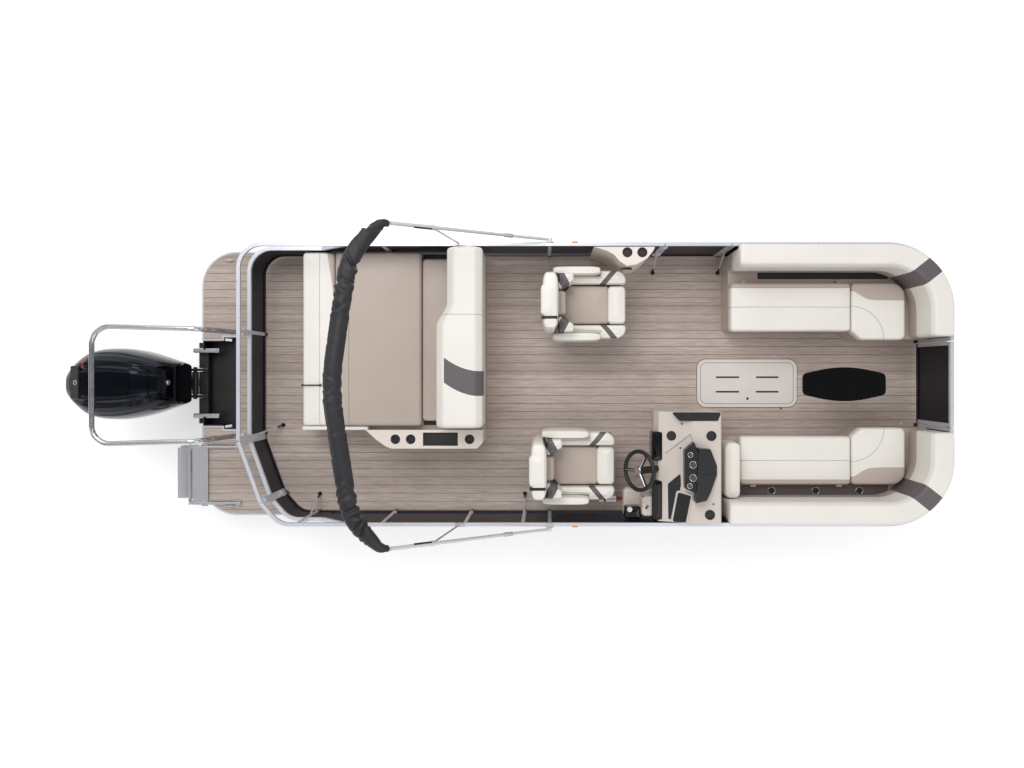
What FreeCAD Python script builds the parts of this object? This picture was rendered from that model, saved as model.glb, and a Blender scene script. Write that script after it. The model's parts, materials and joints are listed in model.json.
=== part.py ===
import FreeCAD
import Part
import math
import os
import re
import types

import Sketcher

# Pontoon boat with three tubes, 7.3 m deck, fenced, with an outboard motor.
# Frame: X forward, Y to port, Z up. Origin at mid deck length, on the centreline,
# on the waterline. All sizes are in millimetres and degrees.

SIZES = {
    # Deck
    "deck_length": 7320, "deck_width": 2590, "deck_top": 580, "deck_thick": 30,
    "deck_aft_radius": 345, "deck_bow_radius": 580, "trim_thick": 15, "trim_drop": 20,
    "notch_half": 330,
    # Tubes
    "tube_diameter": 635, "tube_spacing": 950, "tube_centre": 107.5, "tube_aft": 3300,
    "tube_fore": 2750, "centre_tube_aft": 2950, "nose_length": 810, "nose_rise": 165,
    "riser_half": 70, "riser_bury": 60, "member_height": 100, "member_width": 40,
    "member_pitch": 406, "member_first": 3450, "member_count": 17, "member_half": 1200,
    # Transom
    "transom_x": 3700, "transom_thick": 50, "transom_top": 475, "pod_half": 310,
    "pod_bottom": 150, "well_floor": 371, "well_wall": 10, "well_step": 3445,
    "well_fore": 3303, "well_half": 452, "well_half_aft": 419, "cleat_x": 3380,
    "cleat_side": 1205, "cleat_length": 90, "cleat_height": 32,
    # Fence
    "fence_side": 1254, "rail_size": 32, "fence_height": 711, "panel_gap": 50,
    "skin_thick": 12, "low_rail_height": 450, "low_run": 680, "slant_run": 960,
    "stern_fence": 3030, "bow_fence": 3350, "bow_corner_radius": 580,
    "stern_corner_radius": 210, "bow_gate_half": 383, "side_gate_aft": 790,
    "side_gate_fore": 1380, "gate_play": 8, "stern_gate_in": 527, "stern_gate_out": 1062,
    "stern_gate_run": 200, "stern_turn_run": 370, "stern_turn_radius": 200,
    "post_aft": 1744, "post_mid": 1002, "post_fore": 245, "brace_radius": 8,
    "brace_reach": 170, "stern_brace_lean": 0.45, "brace_run": 530, "brace_fore": 486,
    "knuckle_radius": 9, "knuckle_height": 40, "knuckle_stand": 11,
    "knuckle_low": 130, "knuckle_high": 560, "running_gap": 0.3,
    # Seats
    "base_height": 300, "seat_height": 430, "aft_pad_height": 450, "back_height": 795,
    "lounge_wall": 25, "bow_gate_gap": 60, "helm_passage": 71, "arm_pad_gap": 43,
    "bow_base_inner": 500, "bow_base_end": 3320, "bow_base_side": 1225,
    "bow_base_end_inner": 420, "bow_corner_start": 2565, "bow_bench_back": 940,
    "bow_seat_end": 3066, "seat_gap": 8, "seat_corner": 120,
    "back_thick": 183, "back_stand": 26, "lid_hinge_height": 370,
    "lid_hinge_stand": 2, "arm_pad_length": 140, "arm_pad_set": 30, "arm_pad_top": 620,
    "stern_walk": 487, "aft_base_fore": 860, "aft_base_side": 1225,
    "aft_base_inner": 430, "aft_cushion_width": 307,
    "aft_base_corner": 60, "aft_cushion_drop": 20, "aft_strip_fore": 1252,
    "aft_back_aft": 1250, "aft_back_step": 95, "aft_back_turn": 730, "aft_back_bend": 230,
    "aft_back_bend_radius": 400, "aft_back_fore": 842, "aft_back_foot": 10, "aft_back_bevel": 60,
    "aft_back_top_run": 60, "aft_back_lean": 4, "aft_back_shoulder": 80, "aft_back_round": 40,
    "aft_cushion_inner": 390, "side_box_height": 400, "side_box_inner": 604,
    "side_box_aft": 1962, "side_box_fore": 870, "side_box_slope": 237, "cup_pitch": 143,
    "side_cup_aft": 41, "side_cup_fore": 122, "side_tray_aft": 297, "side_tray_fore": 231,
    "side_tray_edge": 25, "side_tray_reach": 150, "side_tray_depth": 40,
    # Consoles
    "helm_aft": 700, "helm_fore": 1274, "helm_port": 245, "helm_starboard": 1226,
    "helm_height": 800, "helm_shelf": 620, "wheel_x": 545, "wheel_side": 761,
    "wheel_height": 800, "wheel_radius": 172, "wheel_grip": 13, "wheel_tilt": 50,
    "column_radius": 32, "column_length": 205, "side_console_height": 720,
    "side_console_x": 422, "side_console_length": 547, "side_console_depth": 170,
    "side_console_play": 10, "side_console_cup": 26, "side_console_cup_side": 50,
    "side_console_cup_pitch": 133, "cup_radius": 38, "cup_depth": 70, "console_foot": 60,
    "console_top_run": 250, "console_lip_run": 190, "console_lip_drop": 60,
    "console_nose_run": 30, "console_nose_rise": 60, "console_nose_drop": 40,
    "console_round": 25, "console_cup_floor": 90, "cup_aft_set": 140, "cup_aft_side": 214,
    "cup_fore_set": 93, "cup_fore_side": 209, "cup_last_set": 106, "cup_last_side": 76,
    "pod_aft_rise": 45, "pod_fore_rise": 120, "pod_sink": 100, "screen_aft_rise": 150,
    "screen_fore_rise": 15, "screen_sink": 20, "throttle_side": 1095, "throttle_half": 90,
    "throttle_reach": 110, "throttle_bury": 40, "throttle_drop": 120, "throttle_rise": 40,
    "lever_foot": 60, "lever_end": 90, "lever_length": 120, "lever_radius": 10,
    "spoke_half": 14, "hub_grow": 8, "bottle_x": 243, "bottle_side": 1125,
    "bottle_radius": 34, "bottle_length": 230,
    # Chairs
    "helm_chair_x": -20, "helm_chair_side": 755, "guest_chair_x": 83,
    "guest_chair_side": 730, "post_radius": 45, "post_height": 270, "flange_radius": 150,
    "flange_thick": 12, "chair_pan": 30, "chair_half": 262, "chair_back_reach": 395,
    "chair_arm_aft": 300, "chair_arm_fore": 135, "chair_arm_round": 30,
    "chair_bolster_top": 540, "chair_nose_half": 312, "chair_nose_radius": 95,
    "chair_wing_in": 105, "chair_wing_reach": 95, "chair_wing_top": 780,
    "chair_back_thick": 150, "chair_back_top": 950, "chair_back_round": 110,
    "chair_arm_half": 338, "chair_arm_width": 75, "chair_arm_top": 640, "chair_front": 375,
    "chair_roll_half": 180, "chair_seat_top": 480, "chair_seat_play": 3, "chair_seat_round": 40,
    # Table and locker
    "table_x": 2410, "table_length": 748, "table_width": 351, "table_end_half": 95,
    "table_bulge_radius": 1000, "table_corner": 50, "table_height": 650, "table_thick": 25,
    "table_post_radius": 38, "table_foot_thick": 8, "locker_x": 1695, "locker_length": 980,
    "locker_width": 470, "locker_gap": 6, "locker_corner": 90, "lid_thick": 25, "tub_wall": 12,
    "tub_bottom": 150,
    # Ladder
    "ladder_side_in": 625, "ladder_side_out": 1175, "ladder_rail_radius": 16,
    "ladder_foot": 3270, "ladder_hinge_x": 3790, "ladder_drop": 20, "ladder_bar": 30,
    "ladder_section": 470, "ladder_end_section": 400, "ladder_lean": 18,
    "ladder_rail_stand": 4, "ladder_bend": 30, "ladder_drop_run": 40, "ladder_pad_half": 30,
    "ladder_pad_length": 60, "ladder_pin_end": 22, "tread_gap": 50, "top_tread_half": 12,
    "tread_depth": 150, "tread_thick": 25,
    "ladder_bar_thick": 10, "tread_set": 9, "tread_one": 165, "tread_two": 385, "tread_three": 160,
    "tread_four": 370, "ladder_pin": 10, "ladder_play": 6,
    # Tow bar
    "tow_half": 500, "tow_start_half": 478, "tow_radius": 22, "tow_start_height": 500,
    "tow_standoff": 90, "tow_lean": 95, "tow_knee_height": 1050, "tow_height": 1106,
    "tow_end": 4110, "tow_corner": 150,
    # Canopy
    "canopy_pivot": 245, "canopy_side": 1290, "canopy_pivot_height": 735,
    "canopy_angle": 31, "canopy_reach": 1500, "canopy_corner": 1810, "canopy_crown": 1967,
    "canopy_corner_side": 1025,
    "canopy_corner_radius": 550, "canopy_crown_radius": 1500, "boot_end_run": 60,
    "boot_end_radius": 26, "boot_taper_run": 420, "boot_rise": 15, "boot_radius": 72,
    "canopy_tube": 13, "canopy_pin": 8, "bracket_half": 35, "bracket_plate": 5,
    "bracket_drop": 30, "bracket_above": 12, "saddle_radius": 8, "saddle_half": 30,
    "strut_foot": 1050, "strut_along": 1100, "strut_clip_half": 40, "strut_clip_height": 25,
    # Motor
    "tilt_x": 3775, "tilt_height": 470, "tilt_tube": 20, "clamp_inner": 118,
    "clamp_thick": 27, "pin_play": 0.4, "kingpin_x": 3880, "kingpin_radius": 21,
    "swivel_radius": 45, "swivel_bottom": 20, "swivel_top": 500, "leg_front": 3965,
    "leg_back": 4130, "leg_half": 70, "plate_height": -165, "shaft_height": -372,
    "gear_radius": 58, "gear_front": 3850, "gear_back": 4190, "skeg_bottom": -580,
    "prop_radius": 190, "prop_length": 130, "prop_hub": 48, "cowl_bottom": 660,
    "cowl_top": 1315, "cowl_front": 3725, "cowl_back": 4655, "cowl_half": 335,
    "cowl_front_half": 190, "cowl_back_half": 135, "cowl_widest": 0.55, "cowl_front_drop": 300,
    "cowl_back_drop": 150, "cowl_skirt": 120, "cowl_wall": 12, "engine_length": 470,
    "engine_half": 190, "engine_height": 430, "engine_set": 150, "clamp_drop": 380,
    "clamp_over": 20, "clamp_nose": 35, "clamp_rise": 45, "clamp_foot": 40, "tilt_tube_end": 15,
    "swivel_side_play": 6, "swivel_hub_wall": 14, "web_half": 35, "web_rise": 60,
    "yoke_gap": 6, "yoke_thick": 44, "top_yoke_half": 50, "low_yoke_thick": 40,
    "low_yoke_half": 45, "yoke_reach": 30, "plate_thick": 14, "plate_half": 80,
    "plate_tail": 120, "blade_half": 26, "skeg_half": 8, "prop_shaft_radius": 10,
    "prop_shaft_end": 20, "blade_thick": 9, "blade_pitch": 35,
}

# Places worked out from the driving sizes, as formulas of the second sheet.
PLACES = {
    "bow_x": "deck_length / 2", "aft_x": "-deck_length / 2",
    "half_width": "deck_width / 2", "deck_under": "deck_top - deck_thick",
    "tube_radius": "tube_diameter / 2", "member_bottom": "deck_under - member_height",
    "rail_top": "deck_top + fence_height", "rail_half": "rail_size / 2",
    "panel_bottom": "deck_top + panel_gap", "low_rail": "deck_top + low_rail_height",
    "base_top": "deck_top + base_height", "seat_top": "deck_top + seat_height",
    "back_top": "deck_top + back_height", "seat_bottom": "base_top + running_gap",
    "aft_pad_top": "deck_top + aft_pad_height", "inner_side": "fence_side - rail_half",
    "table_top": "deck_top + table_height", "post_top": "deck_top + post_height",
    "helm_top": "deck_top + helm_height", "locker_half": "locker_width / 2",
    "canopy_z": "deck_top + canopy_pivot_height",
    "stern_gate_out_x": "stern_fence - stern_gate_run",
    "stern_turn_x": "stern_fence - stern_turn_run",
    "low_end": "stern_fence - low_run", "slant_end": "stern_fence - slant_run",
    "brace_aft": "stern_fence - brace_run",
    "aft_base_aft": "stern_fence - stern_walk",
    "aft_pad_seam": "aft_base_aft - aft_cushion_width",
    "bow_base_aft": "side_gate_fore + bow_gate_gap",
    "bow_base_aft_starboard": "helm_fore + helm_passage",
    "bow_bench_aft_starboard": "bow_base_aft_starboard + arm_pad_length + arm_pad_gap",
    "side_top": "deck_top + side_box_height", "side_cup_line": "-side_box_inner + 2.3 * cup_radius",
    "side_console_top": "deck_top + side_console_height",
}

document = FreeCAD.newDocument("pontoon_boat")
V = FreeCAD.Vector
home = {}


def make_sheet(name, rows, as_formula):
    """One spreadsheet: each row has a name and a plain number or a formula."""
    sheet = document.addObject("Spreadsheet::Sheet", name)
    for row, (alias, content) in enumerate(rows.items(), start=1):
        home[alias] = name
        sheet.set(f"A{row}", alias)
        sheet.set(f"B{row}", "=" + bound(content) if as_formula else str(content))
        sheet.setAlias(f"B{row}", alias)
    document.recompute()
    return sheet


def bound(text):
    """A formula with each known name written as a cell of its sheet."""
    return re.sub(r"[a-z][a-z0-9_]*", lambda word: qualified(word[0]), str(text))


def qualified(word):
    return f"{home[word]}.{word}" if word in home else word


def named_values(*sheets):
    """The numbers of the sheets under their names, for shapes made from curves."""
    values = types.SimpleNamespace()
    for sheet in sheets:
        for alias in [a for a, owner in home.items() if owner == sheet.Name]:
            setattr(values, alias, float(sheet.get(alias)))
    return values


sizes_sheet = make_sheet("sizes", SIZES, False)
places_sheet = make_sheet("places", PLACES, True)
S = named_values(sizes_sheet, places_sheet)
nodes = []


def block(name, x, y, z):
    """A box between two formulas along each axis."""
    box = document.addObject("Part::Box", name)
    for length, axis, (low, high) in (("Length", "x", x), ("Width", "y", y), ("Height", "z", z)):
        box.setExpression(length, bound(f"({high}) - ({low})"))
        box.setExpression(f"Placement.Base.{axis}", bound(low))
    return box


def rod(name, start, radius, length, axis="z"):
    """A cylinder from a start point along one axis."""
    cylinder = document.addObject("Part::Cylinder", name)
    cylinder.setExpression("Radius", bound(radius))
    cylinder.setExpression("Height", bound(length))
    turn = {"x": (V(0, 1, 0), 90), "y": (V(1, 0, 0), -90), "z": (V(0, 0, 1), 0)}[axis]
    cylinder.Placement.Rotation = FreeCAD.Rotation(*turn)
    for letter, formula in zip("xyz", start):
        cylinder.setExpression(f"Placement.Base.{letter}", bound(formula))
    return cylinder


def prism(name, plane, outline, low, high, rounds=()):
    """A padded sketch between two levels of the plane's normal.

    The outline is a list of formula pairs. A round is a list of corners and a radius.
    Planes are XY (normal Z), XZ (normal Y) and YZ (normal X).
    """
    body = document.addObject("PartDesign::Body", name)
    sketch = body.newObject("Sketcher::SketchObject", name + "_outline")
    origin_plane = [f for f in body.Origin.OriginFeatures if f.Role == plane + "_Plane"][0]
    sketch.AttachmentSupport = [(origin_plane, "")]
    sketch.MapMode = "FlatFace"
    level = f"-({high})" if plane == "XZ" else low
    sketch.setExpression("AttachmentOffset.Base.z", bound(level))
    turn = math.tau / len(outline)
    points = [(900 * math.cos(i * turn), 900 * math.sin(i * turn)) for i in range(len(outline))]
    for start, end in zip(points, points[1:] + points[:1]):
        sketch.addGeometry(Part.LineSegment(V(*start, 0), V(*end, 0)), False)
    for i in range(len(points)):
        sketch.addConstraint(Sketcher.Constraint("Coincident", i, 2, (i + 1) % len(points), 1))
    for i, (pair, point) in enumerate(zip(outline, points)):
        for kind, formula, number in zip(("DistanceX", "DistanceY"), pair, point):
            index = sketch.addConstraint(Sketcher.Constraint(kind, -1, 1, i, 1, number))
            sketch.setExpression(f"Constraints[{index}]", bound(formula))
    pad = body.newObject("PartDesign::Pad", name + "_pad")
    pad.Profile = sketch
    pad.setExpression("Length", bound(f"({high}) - ({low})"))
    document.recompute()
    for number, (corners, radius) in enumerate(rounds):
        base = body.Tip
        fillet = body.newObject("PartDesign::Fillet", f"{name}_round{number}")
        fillet.Base = (base, upright_edges(base.Shape, sketch, plane, corners))
        fillet.setExpression("Radius", bound(radius))
        document.recompute()
    return body


def upright_edges(shape, sketch, plane, corners):
    """Names of the straight edges that stand on the given corners of a sketch."""
    spots = [sketch.Placement.multVec(sketch.getPoint(i, 1)) for i in corners]
    normal = {"XY": V(0, 0, 1), "XZ": V(0, 1, 0), "YZ": V(1, 0, 0)}[plane]
    found = []
    for number, edge in enumerate(shape.Edges, start=1):
        if edge.Curve.TypeId != "Part::GeomLine" or abs(edge.tangentAt(0).dot(normal)) < 0.999:
            continue
        centre = edge.CenterOfMass
        if any((centre - spot).cross(normal).Length < 0.01 for spot in spots):
            found.append(f"Edge{number}")
    return found


def fuse(name, pieces):
    joined = document.addObject("Part::MultiFuse", name)
    joined.Shapes = pieces
    return joined


def cut(name, base, tool):
    result = document.addObject("Part::Cut", name)
    result.Base = base
    result.Tool = tool
    return result


def common(name, first, second):
    result = document.addObject("Part::Common", name)
    result.Base = first
    result.Tool = second
    return result


def group(name, pieces):
    """Pieces of one node that don't touch each other."""
    result = document.addObject("Part::Compound", name)
    result.Links = pieces
    return result


def shaped(name, shape, placement=None):
    """A piece whose shape follows curves that no primitive has."""
    piece = document.addObject("Part::Feature", name)
    piece.Shape = shape
    piece.Placement = placement or FreeCAD.Placement()
    return piece


def node(label, piece):
    """Names a finished sub-part, which its file is called after."""
    piece.Label = label
    nodes.append(piece)
    return piece


# Curved paths


def rounded_path(points, radii):
    """Edges through points with an arc of the given radius at each inner point."""
    starts = [points[0]]
    edges = []
    for before, corner, after, radius in zip(points, points[1:], points[2:], radii):
        inward = (before - corner).normalize()
        outward = (after - corner).normalize()
        half_turn = (math.pi - inward.getAngle(outward)) / 2
        leave = corner + inward * radius * math.tan(half_turn)
        enter = corner + outward * radius * math.tan(half_turn)
        bisector = (inward + outward).normalize()
        middle = corner + bisector * (radius / math.cos(half_turn) - radius)
        edges.append(Part.makeLine(starts[-1], leave))
        edges.append(Part.Arc(leave, middle, enter).toShape())
        starts.append(enter)
    edges.append(Part.makeLine(starts[-1], points[-1]))
    return edges


def shifted(points, distance):
    """A plan polyline moved sideways, to its left for a positive distance."""
    lefts = []
    for start, end in zip(points, points[1:]):
        along = (end - start).normalize()
        lefts.append(V(-along.y, along.x, 0))
    moved = [points[0] + lefts[0] * distance]
    for corner, first, second in zip(points[1:-1], lefts, lefts[1:]):
        joint = (first + second).normalize()
        moved.append(corner + joint * (distance / joint.dot(first)))
    moved.append(points[-1] + lefts[-1] * distance)
    return moved


def turn_signs(points):
    """One for each inner point: 1 where the path turns left, else -1."""
    signs = []
    for before, corner, after in zip(points, points[1:], points[2:]):
        signs.append(1 if (corner - before).cross(after - corner).z > 0 else -1)
    return signs


def ribbon(points, radii, left, right, low, high):
    """A wall that follows a plan path, between two sideways offsets and two levels."""
    signs = turn_signs(points)
    left_radii = [r - s * left for r, s in zip(radii, signs)]
    right_radii = [r - s * right for r, s in zip(radii, signs)]
    far = rounded_path(shifted(points, left), left_radii)
    near = rounded_path(shifted(points, right), right_radii)
    ends = [Part.makeLine(far[0].firstVertex().Point, near[0].firstVertex().Point),
            Part.makeLine(far[-1].lastVertex().Point, near[-1].lastVertex().Point)]
    outline = Part.Wire(Part.__sortEdges__(far + near + ends))
    wall = Part.Face(outline).extrude(V(0, 0, high - low))
    wall.translate(V(0, 0, low))
    return wall


def tube(points, radii, radius):
    """A round bar along a rounded path."""
    spine = Part.Wire(rounded_path(points, radii))
    along = (points[1] - points[0]).normalize()
    ring = Part.Wire(Part.makeCircle(radius, points[0], along))
    return spine.makePipeShell([ring], True, True)


def bar(start, end, radius):
    """A straight round bar between two points."""
    return Part.makeCylinder(radius, (end - start).Length, start, end - start)


def brick(x, y, z):
    """A box between two numbers along each axis."""
    low = [min(pair) for pair in (x, y, z)]
    high = [max(pair) for pair in (x, y, z)]
    size = [b - a for a, b in zip(low, high)]
    return Part.makeBox(*size, V(*low))


def joined(shapes):
    result = shapes[0].fuse(shapes[1:]) if len(shapes) > 1 else shapes[0]
    return result.removeSplitter()


# Hull


def pontoon(label, side, aft, fore):
    """One tube with its raised nose cone and the riser that carries the deck."""
    straight = rod(label + "_straight", (f"-({aft})", side, "tube_centre"), "tube_radius",
                   f"({aft}) + ({fore})", "x")
    rings = []
    for number, (along, share, rise) in enumerate(((0, 1, 0), (0.3, 0.93, 0.1),
                                                   (0.62, 0.68, 0.42), (1, 0.16, 1))):
        ring = document.addObject("Part::Circle", f"{label}_ring{number}")
        ring.Placement.Rotation = FreeCAD.Rotation(V(0, 1, 0), 90)
        ring.setExpression("Radius", bound(f"tube_radius * {share}"))
        ring.setExpression("Placement.Base.x", bound(f"{fore} + nose_length * {along}"))
        ring.setExpression("Placement.Base.y", bound(side))
        ring.setExpression("Placement.Base.z", bound(f"tube_centre + nose_rise * {rise}"))
        rings.append(ring)
    nose = document.addObject("Part::Loft", label + "_nose")
    nose.Sections = rings
    nose.Solid = True
    riser = block(label + "_riser", (f"-({aft})", f"{fore} + nose_length / 3"),
                  (f"{side} - riser_half", f"{side} + riser_half"),
                  ("tube_centre + tube_radius - riser_bury", "member_bottom"))
    return fuse(label + "_whole", [straight, nose, riser])


def pontoons():
    node("pontoon_port", pontoon("port_tube", "tube_spacing", "tube_aft", "tube_fore"))
    node("pontoon_starboard", pontoon("starboard_tube", "-tube_spacing", "tube_aft", "tube_fore"))
    centre = pontoon("centre_tube", "0", "centre_tube_aft", "tube_fore")
    pocket = block("centre_tube_pocket", locker_span("x", "locker_gap"),
                   locker_span("y", "locker_gap"), ("tub_bottom", "deck_top"))
    node("pontoon_centre", cut("centre_tube_open", centre, pocket))


def locker_span(axis, margin):
    """Low and high of the locker's hole along X or Y, grown by a margin."""
    if axis == "x":
        return (f"locker_x - locker_length / 2 - ({margin})",
                f"locker_x + locker_length / 2 + ({margin})")
    return (f"-(locker_half + ({margin}))", f"locker_half + ({margin})")


def transom_pod():
    """The box behind the centre tube that carries the motor on its thick rear plate."""
    outline = [("-transom_x", "transom_top"), ("-transom_x + transom_thick", "transom_top"),
               ("-transom_x + transom_thick", "well_floor"), ("-well_fore + well_wall", "well_floor"),
               ("-well_fore + well_wall", "member_bottom"), ("-centre_tube_aft", "member_bottom"),
               ("-centre_tube_aft", "-pod_bottom"),
               ("-transom_x + transom_thick * 2", "-pod_bottom + 60"),
               ("-transom_x", "-pod_bottom + 160")]
    node("transom_pod", prism("pod", "XZ", outline, "-pod_half", "pod_half"))


def cross_members():
    """The beams under the deck, cut where the locker hangs between them."""
    beams = []
    for number in range(int(S.member_count)):
        middle = f"-member_first + {number} * member_pitch"
        beams.append(block(f"beam{number}",
                           (f"{middle} - member_width / 2", f"{middle} + member_width / 2"),
                           ("-member_half", "member_half"), ("member_bottom", "deck_under")))
    hole = block("beam_hole", locker_span("x", "locker_gap + member_width"),
                 locker_span("y", "locker_gap"), ("member_bottom - 10", "deck_under + 10"))
    well = block("beam_well", ("aft_x", "-well_fore + well_wall"),
                 ("-well_half - well_wall", "well_half + well_wall"),
                 ("member_bottom - 10", "deck_under + 10"))
    node("cross_members", cut("beams_open", group("beams", beams), fuse("beam_holes", [hole, well])))


def deck_outline(inset):
    """Plan corners of the deck, with the stepped motor well in its aft edge."""
    aft = f"aft_x + {inset}"
    bow = f"bow_x - {inset}"
    side = f"half_width - {inset}"
    step = f"-well_step - {inset}"
    fore = f"-well_fore + {inset}"
    narrow = f"well_half_aft + {inset}"
    wide = f"well_half + {inset}"
    return [(aft, f"-({side})"), (bow, f"-({side})"), (bow, side), (aft, side), (aft, narrow),
            (step, narrow), (step, wide), (fore, wide), (fore, f"-({wide})"), (step, f"-({wide})"),
            (step, f"-({narrow})"), (aft, f"-({narrow})")]


def deck():
    rounds = [((0, 3), "deck_aft_radius - trim_thick"), ((1, 2), "deck_bow_radius - trim_thick")]
    board = prism("deck_board", "XY", deck_outline("trim_thick"), "deck_under", "deck_top", rounds)
    hole = locker_plan("deck_hole", "locker_gap", "deck_under - 10", "deck_top + 10")
    node("deck", cut("deck_open", board, hole))
    outer = prism("trim_outer", "XY", deck_outline("0"), "deck_under - trim_drop", "deck_top",
                  [((0, 3), "deck_aft_radius"), ((1, 2), "deck_bow_radius")])
    inner = prism("trim_inner", "XY", deck_outline("trim_thick"), "deck_under - trim_drop - 10",
                  "deck_top + 10", rounds)
    under = block("trim_well", ("-well_step - trim_thick - 1", "-well_fore + trim_thick + 1"),
                  ("-well_half - trim_thick - 1", "well_half + trim_thick + 1"),
                  ("deck_under - trim_drop - 1", "deck_under"))
    node("deck_trim", cut("trim_ring", outer, fuse("trim_inside", [inner, under])))


def well_block(name, inset, low, high):
    """The stepped plan of the motor well between two levels, shrunk by an inset."""
    wide = block(name + "_wide", (f"-well_step - {inset}", f"-well_fore - {inset}"),
                 (f"-well_half + {inset}", f"well_half - {inset}"), (low, high))
    narrow = block(name + "_narrow", (f"-transom_x + transom_thick + {inset}", f"-well_step + {inset}"),
                   (f"-well_half_aft + {inset}", f"well_half_aft - {inset}"), (low, high))
    return fuse(name, [wide, narrow])


def motor_well():
    """The black tray sunk in the aft deck ahead of the transom, where the motor tilts."""
    outer = well_block("well_outer", "0", "well_floor", "deck_top")
    inner = well_block("well_inner", "well_wall", "well_floor + well_wall", "deck_top + 10")
    mouth = block("well_mouth", ("-transom_x", "-transom_x + transom_thick + well_wall * 2"),
                  ("-notch_half", "notch_half"), ("transom_top", "deck_top + 10"))
    node("motor_well", cut("well_tray", outer, fuse("well_inside", [inner, mouth])))


def deck_cleats():
    cleats = []
    for side in ("cleat_side", "-cleat_side"):
        name = "cleat_port" if side[0] != "-" else "cleat_starboard"
        foot = block(name + "_foot", ("-cleat_x - 20", "-cleat_x + 20"), (f"{side} - 10", f"{side} + 10"),
                     ("deck_top", "deck_top + cleat_height - 8"))
        horn = rod(name + "_horn", ("-cleat_x - cleat_length / 2", side, "deck_top + cleat_height - 6"),
                   "6", "cleat_length", "x")
        cleats.append(fuse(name, [foot, horn]))
    node("deck_cleats", group("cleats", cleats))


# Fence


def plan(*pairs):
    return [V(x, y, 0) for x, y in pairs]


def fence_path(part):
    """Plan centreline of each fence run and the radii of its corners, aft to bow."""
    side = S.fence_side
    if part == "port_aft":
        points = plan((-S.stern_fence, -S.stern_gate_in + S.rail_half + S.gate_play),
                      (-S.stern_fence, side), (S.side_gate_aft - S.gate_play, side))
        return points, [S.stern_corner_radius]
    if part == "port_bow":
        points = plan((S.side_gate_fore + S.gate_play, side), (S.bow_fence, side),
                      (S.bow_fence, S.bow_gate_half + S.gate_play))
        return points, [S.bow_corner_radius]
    points = plan((-S.stern_gate_out_x, -S.stern_gate_out), (-S.stern_turn_x, -side),
                  (S.bow_fence, -side), (S.bow_fence, -S.bow_gate_half - S.gate_play))
    return points, [S.stern_turn_radius, S.bow_corner_radius]


def fence_post(x, y, low, high, along=V(1, 0, 0)):
    """A square post, turned to stand along its fence."""
    half = S.rail_half
    post = brick((-half, half), (-half, half), (low, high))
    angle = math.degrees(math.atan2(along.y, along.x))
    post.Placement = FreeCAD.Placement(V(x, y, 0), FreeCAD.Rotation(V(0, 0, 1), angle))
    return post


def slanted(shape, keep_aft):
    """Keeps the part of a wall that is aft of, or ahead of, the slanted panel end."""
    rise = S.rail_top - S.low_rail
    run = S.low_end - S.slant_end
    far = 9000
    slope = [V(-S.low_end - run, -far, S.low_rail - rise), V(-S.slant_end + run, -far, S.rail_top + rise)]
    corner = V(-far, -far, slope[1].z) if keep_aft else V(far, -far, slope[0].z)
    extra = V(-far, -far, slope[0].z) if keep_aft else V(far, -far, slope[1].z)
    order = [slope[0], slope[1], corner, extra] if keep_aft else [slope[0], slope[1], extra, corner]
    wedge = Part.Face(Part.makePolygon(order + order[:1])).extrude(V(0, far * 2, 0))
    return shape.common(wedge)


def mid_rail(points, radii):
    """The lower rail of the stern runs, which slants up to the top rail."""
    half = S.rail_half
    level = ribbon(points, radii, half, -half, S.low_rail - S.rail_size, S.low_rail)
    reach = brick((-9000, -S.low_end), (-9000, 9000), (0, 3000))
    side = points[1].y
    start = V(-S.low_end, side, S.low_rail - half)
    end = V(-S.slant_end, side, S.rail_top - half)
    along = (end - start).normalize()
    across = along.cross(V(0, 1, 0)) * half
    corners = [start - along * half + across, end + across, end - across, start - along * half - across]
    face = Part.Face(Part.makePolygon(corners + corners[:1]))
    face.translate(V(0, -half, 0))
    return [level.common(reach), face.extrude(V(0, S.rail_size, 0))]


def fence_frame(part, posts, braces, low_stern):
    """Top and bottom rails, posts and the stern's mid rail, as one welded frame."""
    points, radii = fence_path(part)
    half = S.rail_half
    pieces = [ribbon(points, radii, half, -half, S.rail_top - S.rail_size, S.rail_top),
              ribbon(points, radii, half, -half, S.panel_bottom, S.panel_bottom + S.rail_size)]
    if low_stern:
        pieces += mid_rail(points, radii)
    for end, next_one in ((points[0], points[1]), (points[-1], points[-2])):
        along = (next_one - end).normalize()
        spot = end + along * half
        pieces.append(fence_post(spot.x, spot.y, S.deck_top, S.rail_top, along))
    for x, y in posts:
        pieces.append(fence_post(x, y, S.deck_top, S.rail_top))
    for x, y, inward in braces:
        pieces.append(brace(x, y, inward))
    return joined(pieces)


def brace(x, y, inward):
    """The thin stay from a post down to a foot on the deck."""
    spot = V(x, y, 0)
    foot = spot + inward * S.brace_reach + V(0, 0, S.deck_top)
    top = spot + V(0, 0, S.deck_top + S.fence_height / 2)
    stay = bar(top, foot + V(0, 0, S.brace_radius), S.brace_radius)
    pad = Part.makeCylinder(S.brace_radius * 2.5, S.brace_radius, foot)
    return joined([stay, pad]).common(brick((-9000, 9000), (-9000, 9000), (S.deck_top, 3000)))


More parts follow.
